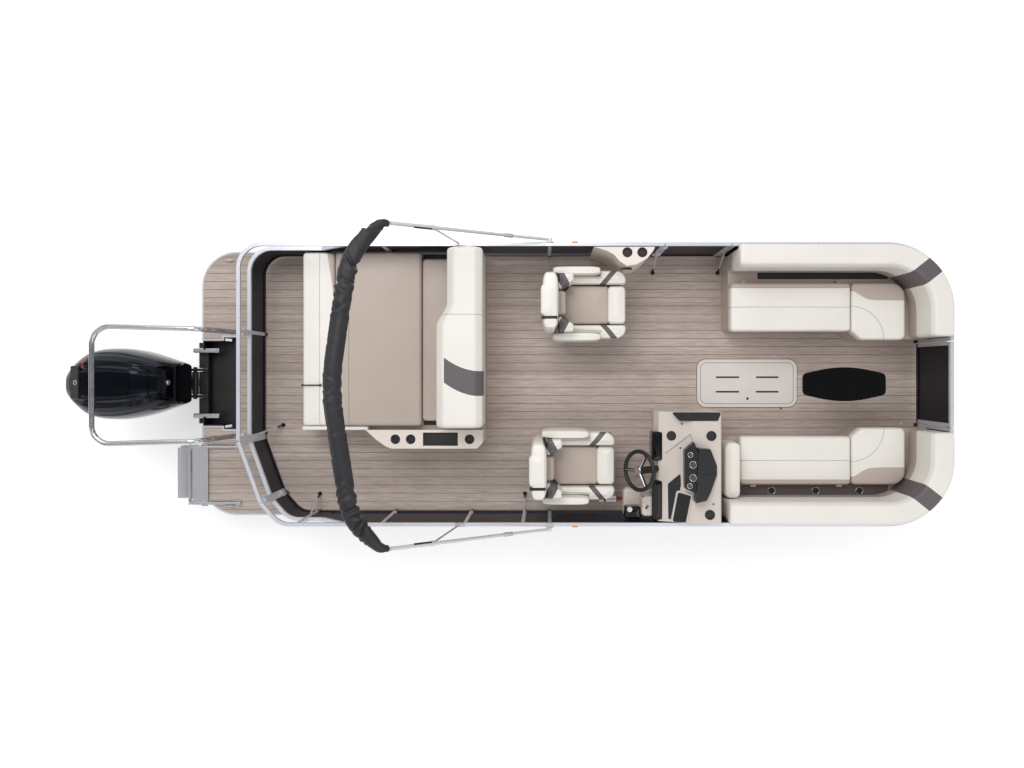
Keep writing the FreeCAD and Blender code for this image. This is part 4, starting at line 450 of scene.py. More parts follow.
class Shader:
    """A procedural material built from nodes on Object coordinates."""

    def __init__(self, name, base, roughness=0.5, metallic=0.0, coat=0.0):
        material = bpy.data.materials.new(name)
        material.use_nodes = True
        self.tree = material.node_tree
        self.surface = self.tree.nodes["Principled BSDF"].inputs
        self.surface["Roughness"].default_value = roughness
        self.surface["Metallic"].default_value = metallic
        self.surface["Coat Weight"].default_value = coat
        self.place = add_node(self.tree, "TexCoord", {}, "Object")
        self.base = tuple(base) + (1.0,)
        self.colour = None
        self.height = None

    def math(self, operation, *values):
        """One sum on plain values or other nodes' outputs."""
        return add_node(self.tree, "Math", dict(enumerate(values)), operation=operation)

    def vector(self, operation, first, second, output):
        """One sum on two vectors."""
        return add_node(self.tree, "VectorMath", {0: first, 1: second}, output, operation=operation)

    def dot(self, direction):
        """The place along a direction, in metres."""
        return self.vector("DOT_PRODUCT", self.place, direction, "Value")

    def stretched(self, scale):
        """The place with each axis scaled by itself."""
        return self.vector("MULTIPLY", self.place, scale, "Vector")

    def from_centre(self, centre):
        """The distance from an upright axis through a centre."""
        return self.vector("DISTANCE", self.stretched((1, 1, 0)), (*centre, 0), "Value")

    def noise(self, scale, detail=3.0, stretch=(1, 1, 1), rough=0.5):
        """Soft lumps from 0 to 1, so many to the metre."""
        return add_node(self.tree, "TexNoise", {"Vector": self.stretched(stretch), "Scale": scale,
                                                "Detail": detail, "Roughness": rough}, "Fac")

    def cells(self, scale):
        """The way to the nearest of many scattered points, as a leather-like grain."""
        return add_node(self.tree, "TexVoronoi", {"Vector": self.place, "Scale": scale}, "Distance")

    def ranged(self, value, low, high, to_low=0.0, to_high=1.0):
        """A value carried from one span to another, and held at its ends."""
        return add_node(self.tree, "MapRange", {"Value": value, "From Min": low, "From Max": high,
                                                "To Min": to_low, "To Max": to_high}, "Result")

    def mix(self, mask, tone):
        """Lays a colour over what is there, where the mask says."""
        under = self.base if self.colour is None else self.colour
        self.colour = add_node(self.tree, "Mix", {"Factor": mask, "A": under, "B": (*tone, 1.0)}, "Result",
                               data_type="RGBA")

    def mottle(self, scale, amount, tone):
        """Uneven colour: noise that lays a second tone over the first."""
        self.mix(self.ranged(self.noise(scale, 4.0), 0.3, 0.7, 0.0, amount), tone)

    def inside(self, planes):
        """One where the place along every plane's direction is over the plane's limit."""
        mask = None
        for direction, limit in planes:
            over = self.math("GREATER_THAN", self.dot(direction), limit)
            mask = over if mask is None else self.math("MULTIPLY", mask, over)
        return mask

    def line(self, value, place, width):
        """One in a narrow strip about a place."""
        away = self.math("ABSOLUTE", self.math("SUBTRACT", value, place))
        return self.ranged(away, width * 0.5, width * 0.15)

    def add_height(self, value, amount):
        """Raises the surface by a value times an amount in metres."""
        scaled = self.math("MULTIPLY", value, amount)
        self.height = scaled if self.height is None else self.math("ADD", self.height, scaled)

    def press(self, mask, share, tone, height):
        """A groove or bead: darkens a share of the colour under a mask and moves its height."""
        self.mix(self.math("MULTIPLY", mask, share), tone)
        self.add_height(mask, height)

    def done(self):
        """Links the colour and the height to the surface."""
        if self.colour is None:
            self.surface["Base Color"].default_value = self.base
        else:
            self.tree.links.new(self.colour, self.surface["Base Color"])
        if self.height is not None:
            inputs = {"Strength": 1.0, "Distance": 1.0, "Height": self.height}
            self.tree.links.new(add_node(self.tree, "Bump", inputs, "Normal"), self.surface["Normal"])


def bowed(made, along, across, middle, bend):
    """The place along one axis plus bend times the square of the way from a middle on the other."""
    away = made.math("SUBTRACT", made.dot(across), middle)
    return made.math("ADD", made.dot(along), made.math("MULTIPLY", made.math("MULTIPLY", away, away), bend))


def vinyl(name, base, patches=(), seams=(), hoops=()):
    """Padded vinyl: grain, slight mottling, patches of other colours and pressed seams.

    A patch is a colour with its masks, each a list of planes or a function that draws
    the mask. A seam is a direction and a place along it, a hoop a centre and a radius.
    """
    made = Shader(name, base, roughness=0.42)
    made.mottle(3.0, 0.35, shade(base, 0.86))
    for tone, masks in patches:
        for mask in masks:
            made.mix(mask(made) if callable(mask) else made.inside(mask), tone)
    lines = [(made.dot(direction), place) for direction, place in seams]
    lines += [(made.from_centre(centre), radius) for centre, radius in hoops]
    for value, place in lines:
        seam = made.line(value, place, bpy.context.scene.boat_sizes.seam)
        made.press(seam, 0.55, shade(base, 0.35), -0.003)
    made.add_height(made.cells(420.0), 0.00012)
    made.add_height(made.noise(9.0, 2.0), 0.0012)
    made.done()


def plain(name, base, roughness, metallic=0.0, coat=0.0, mottle=0.25, grain=0.00006, shine=0.5):
    """A solid finish with slight unevenness in colour, gloss and surface."""
    made = Shader(name, base, roughness, metallic, coat)
    made.surface["Specular IOR Level"].default_value = shine
    made.mottle(4.0, mottle, shade(base, 0.8))
    gloss = made.ranged(made.noise(12.0), 0.3, 0.7, roughness * 0.85, roughness * 1.15)
    made.tree.links.new(gloss, made.surface["Roughness"])
    made.add_height(made.noise(60.0), grain)
    return made


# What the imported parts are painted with, by how their names start; the first that fits counts
PAINTS = (
    ("pontoon", "boat_tubes"), ("transom_pod", "boat_tubes"), ("cross_members", "boat_tubes"),
    ("deck_trim", "boat_rail"), ("deck_cleats", "boat_steel"), ("deck", "boat_deck"),
    ("motor_well", "boat_black"), ("fence_frame", "boat_fence"), ("fence_skin", "boat_panel"),
    ("bow_lounge_bases", "vinyl_taupe"), ("aft_lounge_base", "vinyl_taupe"),
    ("aft_side_console", "boat_side_moulding"), ("side_console", "boat_side_moulding"),
    ("helm_console", "boat_moulding"), ("helm_dash", "boat_moulding_dark"), ("steering_wheel", "boat_black"),
    ("fire_bottle", "boat_bottle"), ("chair_pedestals", "boat_steel"), ("table_top", "boat_gloss_black"),
    ("table_post", "boat_steel"), ("locker_lid", "boat_hatch"), ("locker_tub", "boat_black"),
    ("ladder", "boat_treads"), ("tow_bar", "boat_polished"), ("canopy_legs", "boat_rail"),
    ("canopy_mounts", "boat_steel"), ("canopy_boot", "boat_canvas"), ("motor_cowl", "boat_cowl"),
    ("powerhead", "boat_iron"), ("propeller", "boat_steel"), ("motor", "boat_motor"),
)


class BOAT_OT_materials(bpy.types.Operator):
    """Makes the boat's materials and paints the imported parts"""
    bl_idname = "boat.materials"
    bl_label = "Materials"

    def execute(self, context):
        tone = context.scene.boat_colours
        self.finishes(tone)
        self.deck(tone, context.scene.boat_sizes.plank_pitch)
        self.fence(tone)
        self.bottle(tone)
        self.tubes(tone)
        self.cowl(tone)
        self.canvas(tone)
        self.panels(tone)
        self.hatch(tone)
        self.treads(tone)
        self.bow_vinyl(tone)
        self.aft_vinyl(tone)
        self.paint()
        return {"FINISHED"}

    def finishes(self, tone):
        """The solid finishes of mouldings, rails, metals and small plastic parts."""
        plain("boat_moulding", tone.moulding, 0.38).done()
        # a darker copy of the moulding, for painted shade along a recess's edge
        plain("boat_moulding_shade", shade(tone.moulding, 0.55), 0.4).done()
        plain("boat_moulding_dark", (0.020, 0.019, 0.022), 0.3, shine=0.3).done()
        plain("boat_side_moulding", shade(tone.moulding, 1.3), 0.4).done()
        plain("boat_black", tone.black, 0.45).done()
        plain("boat_gloss_black", shade(tone.black, 0.4), 0.1, mottle=0.1, shine=0.28).done()
        plain("boat_tray", (0.115, 0.090, 0.080), 0.6).done()
        plain("boat_screen", (0.035, 0.033, 0.033), 0.06, mottle=0.1).done()
        plain("boat_amber", tone.amber, 0.2).done()
        plain("boat_rail", tone.rail, 0.32, metallic=0.55, mottle=0.15).done()
        plain("boat_polished", tone.aluminium, 0.16, metallic=1.0, mottle=0.15).done()
        plain("boat_steel", (0.55, 0.56, 0.58), 0.28, metallic=1.0).done()
        plain("boat_iron", (0.12, 0.12, 0.13), 0.6, metallic=0.5, grain=0.0004).done()
        plain("boat_motor", (0.022, 0.022, 0.027), 0.3, coat=0.3).done()

    def deck(self, tone, pitch):
        """Planks of uneven shade along the boat, with long grain and dark grooves between them."""
        made = Shader("boat_deck", tone.plank, roughness=0.62)
        across = made.math("DIVIDE", made.dot(Y), pitch)
        wave = made.math("SINE", made.math("MULTIPLY", made.math("FLOOR", across), 12.9898))
        made.mix(made.ranged(made.math("FRACT", made.math("MULTIPLY", wave, 43.7)), 0.0, 1.0, 0.0, 0.5),
                 tone.plank_dark)
        grain = made.noise(5.0, 8.0, (1.0, 14.0, 1.0), 0.65)
        made.mix(made.ranged(grain, 0.35, 0.72, 0.0, 0.75), tone.plank_dark)
        fine = made.noise(30.0, 3.0, (0.5, 10.0, 1.0))
        made.mix(made.ranged(fine, 0.5, 0.8, 0.0, 0.4), shade(tone.plank, 1.15))
        groove = made.line(made.math("FRACT", across), 0.5, 0.075)
        made.press(groove, 0.85, shade(tone.plank_dark, 0.22), -0.0012)
        made.add_height(made.noise(120.0, 3.0, (1.0, 8.0, 1.0)), 0.0003)
        made.done()

    def fence(self, tone):
        """White-coated rails whose feet, under the panels' lower edge, are painted dark as shade."""
        made = plain("boat_fence", tone.rail, 0.32, metallic=0.45, mottle=0.15)
        # painted shade: below the panels' lower edge the rails take a dark panel tone
        made.mix(made.inside([(against(Z), -0.664)]), shade(tone.panel, 1.6))
        made.done()

    def bottle(self, tone):
        """A bright bottle with a black ring at its aft end and a red fore end."""
        made = plain("boat_bottle", (0.75, 0.75, 0.76), 0.2, metallic=0.3)
        low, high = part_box("fire_bottle")
        made.mix(made.inside(strip(X, low[0] + 0.04, low[0] + 0.06)), tone.black)
        made.mix(made.inside([(X, high[0] - 0.07)]), tone.red)
        made.done()

    def tubes(self, tone):
        """Bare aluminium with a weld bead round the tubes at every sheet's end."""
        sheet, bead = 1.22, 0.012
        made = plain("boat_tubes", tone.aluminium, 0.34, metallic=0.9)
        weld = made.line(made.math("FRACT", made.math("DIVIDE", made.dot(X), sheet)), 0.5, bead)
        made.press(weld, 0.5, shade(tone.aluminium, 0.6), 0.002)
        made.done()

    def cowl(self, tone):
        """Gloss paint, dark grey aft of a seam near the cowl's tail, with a red mark beside the seam."""
        seam_at = -4.452
        made = Shader("boat_cowl", tone.cowl, roughness=0.1)
        made.surface["Specular IOR Level"].default_value = 0.30
        made.surface["Specular Tint"].default_value = (0.72, 0.80, 1.0, 1.0)
        made.mottle(2.0, 0.4, shade(tone.cowl, 2.2))
        made.mix(made.inside([(against(X), -seam_at)]), (0.022, 0.020, 0.026))
        mark = strip(X, seam_at - 0.005, seam_at + 0.020) + strip(Y, 0.15, 0.30) + [(Z, 0.9)]
        made.mix(made.inside(mark), (0.28, 0.015, 0.01))
        made.press(made.line(made.dot(X), seam_at, 0.008), 1.0, (0.001, 0.001, 0.001), -0.003)
        made.add_height(made.noise(300.0, 2.0), 0.00002)
        made.done()

    def canvas(self, tone):
        """Woven cloth: two sine waves that cross, over soft lumps."""
        made = Shader("boat_canvas", tone.canvas, roughness=0.55)
        made.mottle(6.0, 0.6, shade(tone.canvas, 0.55))
        made.mottle(40.0, 0.35, shade(tone.canvas, 1.5))
        warp, weft = made.dot((1, 0, 0.4)), made.dot(Y)
        threads = [made.math("SINE", made.math("MULTIPLY", way, 1600.0)) for way in (warp, weft)]
        made.add_height(made.math("ADD", *threads), 0.00008)
        made.add_height(made.noise(16.0, 5.0), 0.007)
        made.done()

    def panels(self, tone):
        """Thin dark sheet with a slight wave."""
        made = Shader("boat_panel", tone.panel, roughness=0.4)
        made.surface["Specular IOR Level"].default_value = 0.3
        made.mottle(2.0, 0.3, shade(tone.panel, 0.8))
        made.add_height(made.noise(5.0, 2.0), 0.0008)
        made.done()

    def hatch(self, tone):
        """The floor hatch: four slots, a pull's hole and a rounded groove inside its edge."""
        dark = (0.01, 0.01, 0.01)
        made = Shader("boat_hatch", tone.hatch, roughness=0.5)
        made.mottle(5.0, 0.3, shade(tone.hatch, 0.85))
        low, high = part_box("locker_lid")
        slot_half, pull, pull_radius = 0.008, (1.700, -0.151), 0.013
        for start, end in ((1.390, 1.618), (1.785, 2.004)):
            for y in (-0.084, 0.059):
                slot = strip(X, start, end) + strip(Y, y - slot_half, y + slot_half) + [(Z, high[2] - 0.002)]
                made.press(made.inside(slot), 1.0, dark, -0.004)
        made.mix(made.math("LESS_THAN", made.from_centre(pull), pull_radius), dark)
        inset, corner, groove = 0.034, 0.055, 0.014
        over = []
        for axis, unit in enumerate((X, Y)):
            away = made.math("ABSOLUTE", made.math("SUBTRACT", made.dot(unit), (low[axis] + high[axis]) / 2))
            reach = (high[axis] - low[axis]) / 2 - inset - corner
            past = made.math("MAXIMUM", made.math("SUBTRACT", away, reach), 0.0)
            over.append(made.math("MULTIPLY", past, past))
        edge = made.line(made.math("SQRT", made.math("ADD", *over)), corner, groove)
        made.press(edge, 0.65, shade(tone.hatch, 0.3), -0.001)
        made.add_height(made.noise(260.0, 2.0), 0.0002)
        made.done()

    def treads(self, tone):
        """Aluminium with fine ribs: the sine of the place along a leaning direction."""
        made = plain("boat_treads", tone.aluminium, 0.4, metallic=0.8)
        ribs = made.math("SINE", made.math("MULTIPLY", made.dot((1, 0, -0.35)), 420.0))
        made.mix(made.ranged(ribs, 0.2, 0.9, 0.0, 0.45), shade(tone.aluminium, 0.35))
        made.add_height(ribs, 0.0006)
        made.done()

    def bow_vinyl(self, tone):
        """Cream cushions with taupe outer strips, and backs with an accent band at each corner."""
        vinyl("vinyl_cream", tone.cream)
        vinyl("vinyl_taupe", tone.taupe)
        bands = []
        for word, side in SIDES:
            outward = (0, side, 0)
            vinyl("vinyl_bench_" + word, tone.cream, [(tone.taupe, [[(outward, 0.893)]])],
                  [(outward, 0.713), (outward, 0.893)])

            def swoop(made, outward=outward):
                """One outside a line that steps in toward the bow as a hyperbolic tangent."""
                step_at, step_run, middle, half_step = 2.64, 0.07, 0.826, 0.05
                way = made.math("DIVIDE", made.math("SUBTRACT", made.dot(X), step_at), step_run)
                edge = made.math("SUBTRACT", middle, made.math("MULTIPLY", made.math("TANH", way), half_step))
                return made.math("GREATER_THAN", made.dot(outward), edge)
            vinyl("vinyl_corner_" + word, tone.cream, [(tone.taupe, [swoop])],
                  hoops=[((2.54, side * 0.40), 0.325)])
            across = (0.6235, -side * 0.7818, 0)
            edges = [across[0] * x - 0.7818 * y for x, y in ((3.0986, 1.111), (3.207, 0.987))]
            bands.append(strip(across, *edges) + [(X, 2.6), (outward, 0.5)])
        foot = 1.05
        vinyl("vinyl_backs", tone.cream, [(tone.taupe, [[(against(Z), -foot)]]), (tone.accent, bands)],
              [(Z, foot)])

    def aft_vinyl(self, tone):
        """The aft cushion and sun pad meet at a bowed line; a bowed band crosses the aft back."""
        def border(side):
            return lambda made: made.math(side, bowed(made, X, Y, -0.36, 0.0535), -2.18)
        vinyl("vinyl_aft_cushion", tone.cream, [(tone.taupe, [border("GREATER_THAN")])], [(X, -2.381)])
        vinyl("vinyl_sunpad", tone.taupe, [(tone.cream, [border("LESS_THAN")])], [(X, -2.106), (X, -1.431)])

        def band(made):
            value = bowed(made, Y, X, -0.861, -1.18)
            between = made.math("MULTIPLY", made.math("GREATER_THAN", value, -0.1025),
                                made.math("LESS_THAN", value, 0.118))
            return made.math("MULTIPLY", between, made.inside([(X, -1.18), (Z, 1.1)]))
        vinyl("vinyl_aft_back", tone.cream, [(tone.accent, [band])], [(Z, 1.06), (Y, 0.62)])

    def paint(self):
        """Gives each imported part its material; what no rule names is cream vinyl."""
        for name, shown in frame["nodes"].items():
            if name.startswith("gate_"):
                chosen = "boat_fence" if name.endswith("frame") else "boat_panel"
            else:
                fitting = (material for start, material in PAINTS if name.startswith(start))
                chosen = next(fitting, "vinyl_cream")
            shown.data.materials.clear()
            shown.data.materials.append(bpy.data.materials[chosen])


# Pieces


class BOAT_OT_bow_seats(bpy.types.Operator):
    """Builds the bow benches, corner cushions, arm pad and backrests"""
    bl_idname = "boat.bow_seats"
    bl_label = "Bow seats"

    def execute(self, context):
        for word, side in SIDES:
            node = "bow_bench_" + word
            cushion("bench_" + word, node, [(node_pad(node), "vinyl_bench_" + word)], word + "_bench")
            self.corner(word, side)
            self.back(word, side)
        arm_pad = block_pad((1.345, 1.485), (-1.035, -0.530), (CUSHION_FOOT, 1.200), corner=0.05)
        cushion("arm_pad", "bow_arm_pad", [(arm_pad, "vinyl_cream")])
        return {"FINISHED"}

    def corner(self, word, side):
        """The cushion between a bench and the bow, its aft inner corner cut off."""
        outline = [(2.566, 0.490), (2.656, 0.410), (3.066, 0.410), (3.066, 0.940), (2.566, 0.940)]
        radii = [0.035, 0.05, 0.05, 0.12, 0.035][::side]
        shell = pad(placed(outline, side), radii, CUSHION_FOOT, CUSHION_TOP)
        cushion("corner_cushion_" + word, "bow_corner_cushions", [(shell, "vinyl_corner_" + word)])

    def back(self, word, side):
        """The back cushion: a crowned profile carried round the fence's corner."""
        aft = {"port": 1.44, "starboard": 1.348}[word]
        wall, bow, inner, bend = side * 1.254, 3.35, side * 0.428, 0.58
        path, normals = rounded([(aft, wall), (bow, wall), (bow, inner)], [0, bend, 0], 0.03, closed=False)
        profile, _ = rounded([(0.026, CUSHION_FOOT), (0.209, CUSHION_FOOT), (0.209, 1.330), (0.185, 1.378),
                              (0.012, 1.378), (0.010, 1.300), (0.026, 1.290)],
                             [0.012, 0.03, 0.02, 0.035, 0.03, 0.004, 0.004], 0.008)
        cushion("backrest_" + word, "bow_backrests", [(swept(path, normals * side, profile), "vinyl_backs")])


class BOAT_OT_aft_seats(bpy.types.Operator):
    """Builds the aft cushion, sun pad and wide backrest"""
    bl_idname = "boat.aft_seats"
    bl_label = "Aft seats"

    def execute(self, context):
        cushion("aft_cushion", "aft_lounge_cushion", [(node_pad("aft_lounge_cushion"), "vinyl_aft_cushion")])
        low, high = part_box("aft_lounge_pad")
        joint, gap = -1.437, 0.006
        main = block_pad((low[0], joint), (low[1], high[1]), (CUSHION_FOOT, high[2] + 0.004), 0.03, 0.014)
        step = block_pad((joint + gap, -1.162), (low[1] + 0.045, high[1] - 0.060), (CUSHION_FOOT, 0.995),
                         0.02, 0.006)
        cushion("sunpad", "aft_lounge_pad", [(main, "vinyl_sunpad"), (step, "vinyl_taupe")])
        self.back()
        return {"FINISHED"}

    def back(self):
        """The backrest: a profile carried from starboard to port, its aft face bent on the way."""
        low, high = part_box("aft_lounge_backrest")
        profile, _ = rounded([(low[0], CUSHION_FOOT), (-0.852, CUSHION_FOOT), (high[0], 1.315),
                              (-0.905, 1.376), (-1.190, 1.376), (-1.258, 1.300)],
                             [0.02, 0.02, 0.05, 0.05, 0.05, 0.04], 0.008)
        across = np.linspace(low[1], high[1], 60)
        path = np.stack([np.zeros_like(across), across], axis=1)
        normals = np.broadcast_to([1.0, 0.0], path.shape)
        shell = swept(path, normals, profile, 0.035, self.bend)
        cushion("aft_backrest", "aft_lounge_backrest", [(shell, "vinyl_aft_back")])

    @staticmethod
    def bend(places, shape):
        """Moves the aft face forward to port of the bend, by a smooth step along Y."""
        bend_at, bend_run, fore_edge, depth, shift = 0.51, 0.22, -0.90, 0.25, 0.095
        share = np.clip((places[:, 1] - bend_at) / bend_run, 0, 1)
        share = share * share * (3 - 2 * share)
        weight = np.clip((fore_edge - shape[:, :, 0]) / depth, 0, 1)
        moved = shape.copy()
        moved[:, :, 0] += shift * share[:, None] * weight
        return moved


class BOAT_OT_chairs(bpy.types.Operator):
    """Builds the padded shells and seats of the two swivel chairs"""
    bl_idname = "boat.chairs"
    bl_label = "Chairs"

    def execute(self, context):
        tone = context.scene.boat_colours
        for word in ("helm", "guest"):
            name, body = word + "_chair", word + "_seat"
            centre = JOINTS[body + "_swivel"]["pos_m"][:2]
            vinyl(name + "_vinyl", tone.cream, [(tone.accent, self.stripes(*centre))])
            cushion(name + "_shell_soft", name + "_shell", self.shell(name + "_vinyl", *centre), body)
            cushion(name + "_seat_soft", name + "_seat", self.seat(*centre), body)
        return {"FINISHED"}

    def stripes(self, x, y):
        """The accent stripes across the side bolsters' tops, a fore and an aft one on each side.

        Each is a strip along its own direction, with an end along X and an inner end along Y.
        """
        kinds = (((0.763, -0.646), -0.020, 0.025, (X, x + 0.08), 0.150),
                 ((0.884, 0.468), -0.135, -0.055, (against(X), 0.10 - x), 0.100))
        masks = []
        for _, side in SIDES:
            for (fore, out), low, high, end, inner in kinds:
                start = fore * x + side * out * y
                masks.append(strip((fore, side * out, 0), start + low, start + high)
                             + [(Z, 1.02), end, ((0, side, 0), side * y + inner)])
        return masks

    def shell(self, striped, x, y):
        """The back, the foot, and on each side an arm, a striped bolster and a wing beside the back."""
        foot = 0.872
        back_half_x, back_half_y, arm_half_x, arm_half_y = 0.073, 0.262, 0.2175, 0.0375
        levels, shrink = np.transpose([(0.856, 0.9), (foot, 1), (0.93, 1), (1.05, 1), (1.20, 1),
                                       (1.35, 0.985), (1.45, 0.955), (1.495, 0.91), (1.52, 0.82),
                                       (1.531, 0.62)])
        back = stack(levels, (x - 0.322, y), back_half_x * shrink, back_half_y * shrink ** 0.6, 4.2)
        head = block_pad((x - 0.405, x - 0.262), (y - 0.134, y + 0.144), (1.36, 1.548), 0.03, 0.01, 0.04)
        parts = [(back, striped), (head, "vinyl_cream"),
                 (slab((x - 0.400, x - 0.262), (y - 0.160, y - 0.134), (1.50, 1.534), 0.006), "boat_black"),
                 (slab((x - 0.245, x + 0.368), (y - 0.300, y + 0.300), (0.8503, 0.880), 0.05),
                  "boat_moulding_dark")]
        arm_levels, arm_shrink = np.transpose([(0.858, 0.9), (0.875, 1), (1.00, 1), (1.14, 1), (1.185, 0.98),
                                               (1.21, 0.92), (1.221, 0.78)])
        bolster = [(-0.25, 0.190), (0.372, 0.190), (0.372, 0.310), (0.138, 0.310), (0.132, 0.262),
                   (-0.25, 0.262)]
        bolster_radii = [0.02, 0.025, 0.09, 0.01, 0.01, 0.02]
        wing = [(-0.25, 0.112), (-0.115, 0.194), (-0.115, 0.262), (-0.25, 0.262)]
        for _, side in SIDES:
            arm = stack(arm_levels, (x - 0.0825, y + side * 0.3005), arm_half_x * arm_shrink ** 0.5,
                        arm_half_y * arm_shrink, 4.5)
            spine = [(x + a, y + side * b) for a, b in ((-0.20, 0.225), (0.28, 0.245))]
            soft = pad(placed(bolster, side, (x, y)), bolster_radii[::side], foot, 1.118, 0.026, 0.014, spine)
            parts += [(arm, "vinyl_cream"), (soft, striped),
                      (pad(placed(wing, side, (x, y)), 0.02, foot, 1.358, 0.026), striped)]
        lumbar = block_pad((x - 0.262, x - 0.185), (y - 0.11, y + 0.11), (1.058, 1.30), 0.03, 0.01, 0.03)
        return parts + [(lumbar, "vinyl_taupe")]

    def seat(self, x, y):
        """The seat, which narrows between the wings, and the roll along its front."""
        half = [(0.212, 0.177), (-0.142, 0.177), (-0.24, 0.085)]
        outline = [(a, -b) for a, b in half[::-1]] + half
        spine = placed([(-0.08, 0.0), (0.08, 0.0)], centre=(x, y))
        middle = pad(placed(outline, centre=(x, y)), 0.02, CUSHION_FOOT, 1.055, 0.024, 0.016, spine)
        roll = block_pad((x + 0.208, x + 0.374), (y - 0.176, y + 0.176), (CUSHION_FOOT, 1.066),
                         0.032, 0.014, 0.04)
        return [(middle, "vinyl_taupe"), (roll, "vinyl_cream")]


class BOAT_OT_boot(bpy.types.Operator):
    """Builds the rolled canopy's boot with its creases, and the clamps of its frame"""
    bl_idname = "boat.boot"
    bl_label = "Canopy boot"

    def execute(self, context):
        points, faces = closed_shell(self.cloth(context.scene.boat_sizes.boot_radius))
        piece("boot", [((self.raised(points), faces), "boat_canvas")], "canopy", ("canopy_boot",),
              sharp=80)
        clamps = []
        leg_y, leg_z = 1.29, 0.004
        spans = ((-1.13, -1.28, 0.019, "boat_black"), (-0.38, -0.46, 0.019, "boat_steel"),
                 (-1.10, -1.13, 0.022, "boat_steel"))
        for y in (leg_y, -leg_y):
            for start, end, thick, finish in spans:
                points, faces = tube([(x, y, leg_z) for x in (start, (start + end) / 2, end)], thick, 16)
                clamps.append(((self.raised(points), faces), finish))
        piece("canopy_clamps", clamps, "canopy")
        return {"FINISHED"}

    @staticmethod
    def raised(points):
        """Points drawn along the level frame, turned up by its angle about the rail pivots."""
        frame_angle = math.radians(31)
        c, s = math.cos(frame_angle), math.sin(frame_angle)
        x, y, z = points.T
        return np.stack([x * c + z * s, y, z * c - x * s], axis=1) + np.array(JOINTS["canopy_raise"]["pos_m"])

    def cloth(self, radius):
        """The boot's rings along its bow, from leg to leg.

        A ring is the radius times the cosine and the sine of the angle. The radius thins
        toward each leg as a square, waves by two sines, and is pressed in by creases: each
        a bell curve of the way from a leaning line round the boot, with a bulge beside it.
        """
        half = [(-1.50, 1.285), (-1.56, 1.285), (-1.81, 1.025)]
        corners = half + [(-1.967, 0.0)] + [(a, -b) for a, b in half[::-1]]
        path, normals = rounded(corners, [0, 0.09, 0.55, 1.5, 0.55, 0.09, 0], 0.006, closed=False)
        length = np.concatenate([[0], np.cumsum(np.linalg.norm(np.diff(path, axis=0), axis=1))])
        s, a = length[:, None], around(72)[None, :]
        from_end = np.minimum(length, length[-1] - length)
        leg_radius, thinned, lift, creases, seed = 0.026, 0.42, 0.015, 44, 7
        size = (radius - (radius - leg_radius) * np.clip(1 - from_end / thinned, 0, 1) ** 2)[:, None]
        loose = 0.35 + 1.15 * np.exp(-((from_end - 0.35) / 0.30) ** 2)[:, None]
        folds = 0.035 * np.sin(a * 3 + s * 3.1) + 0.020 * np.sin(a * 5 - s * 6.0 + 1.3)
        chance = np.random.default_rng(seed)
        draws = [chance.uniform(low, high, creases)
                 for low, high in ((0, length[-1]), (-0.09, 0.09), (0, math.tau), (0.010, 0.022))]
        for place, lean, phase, wide in zip(*draws):
            off = s - place - lean * np.sin(a + phase)
            crease = 0.20 * np.exp(-(off / wide) ** 2) - 0.12 * np.exp(-((off - 2 * wide) / wide) ** 2)
            folds = folds - loose * (0.5 + 0.5 * np.cos(a - phase)) * crease
        size = size * (0.975 + folds)
        flat = path[:, None, :] + normals[:, None, :] * (size * np.cos(a))[:, :, None]
        return np.concatenate([flat, (lift + size * np.sin(a))[:, :, None]], axis=2)


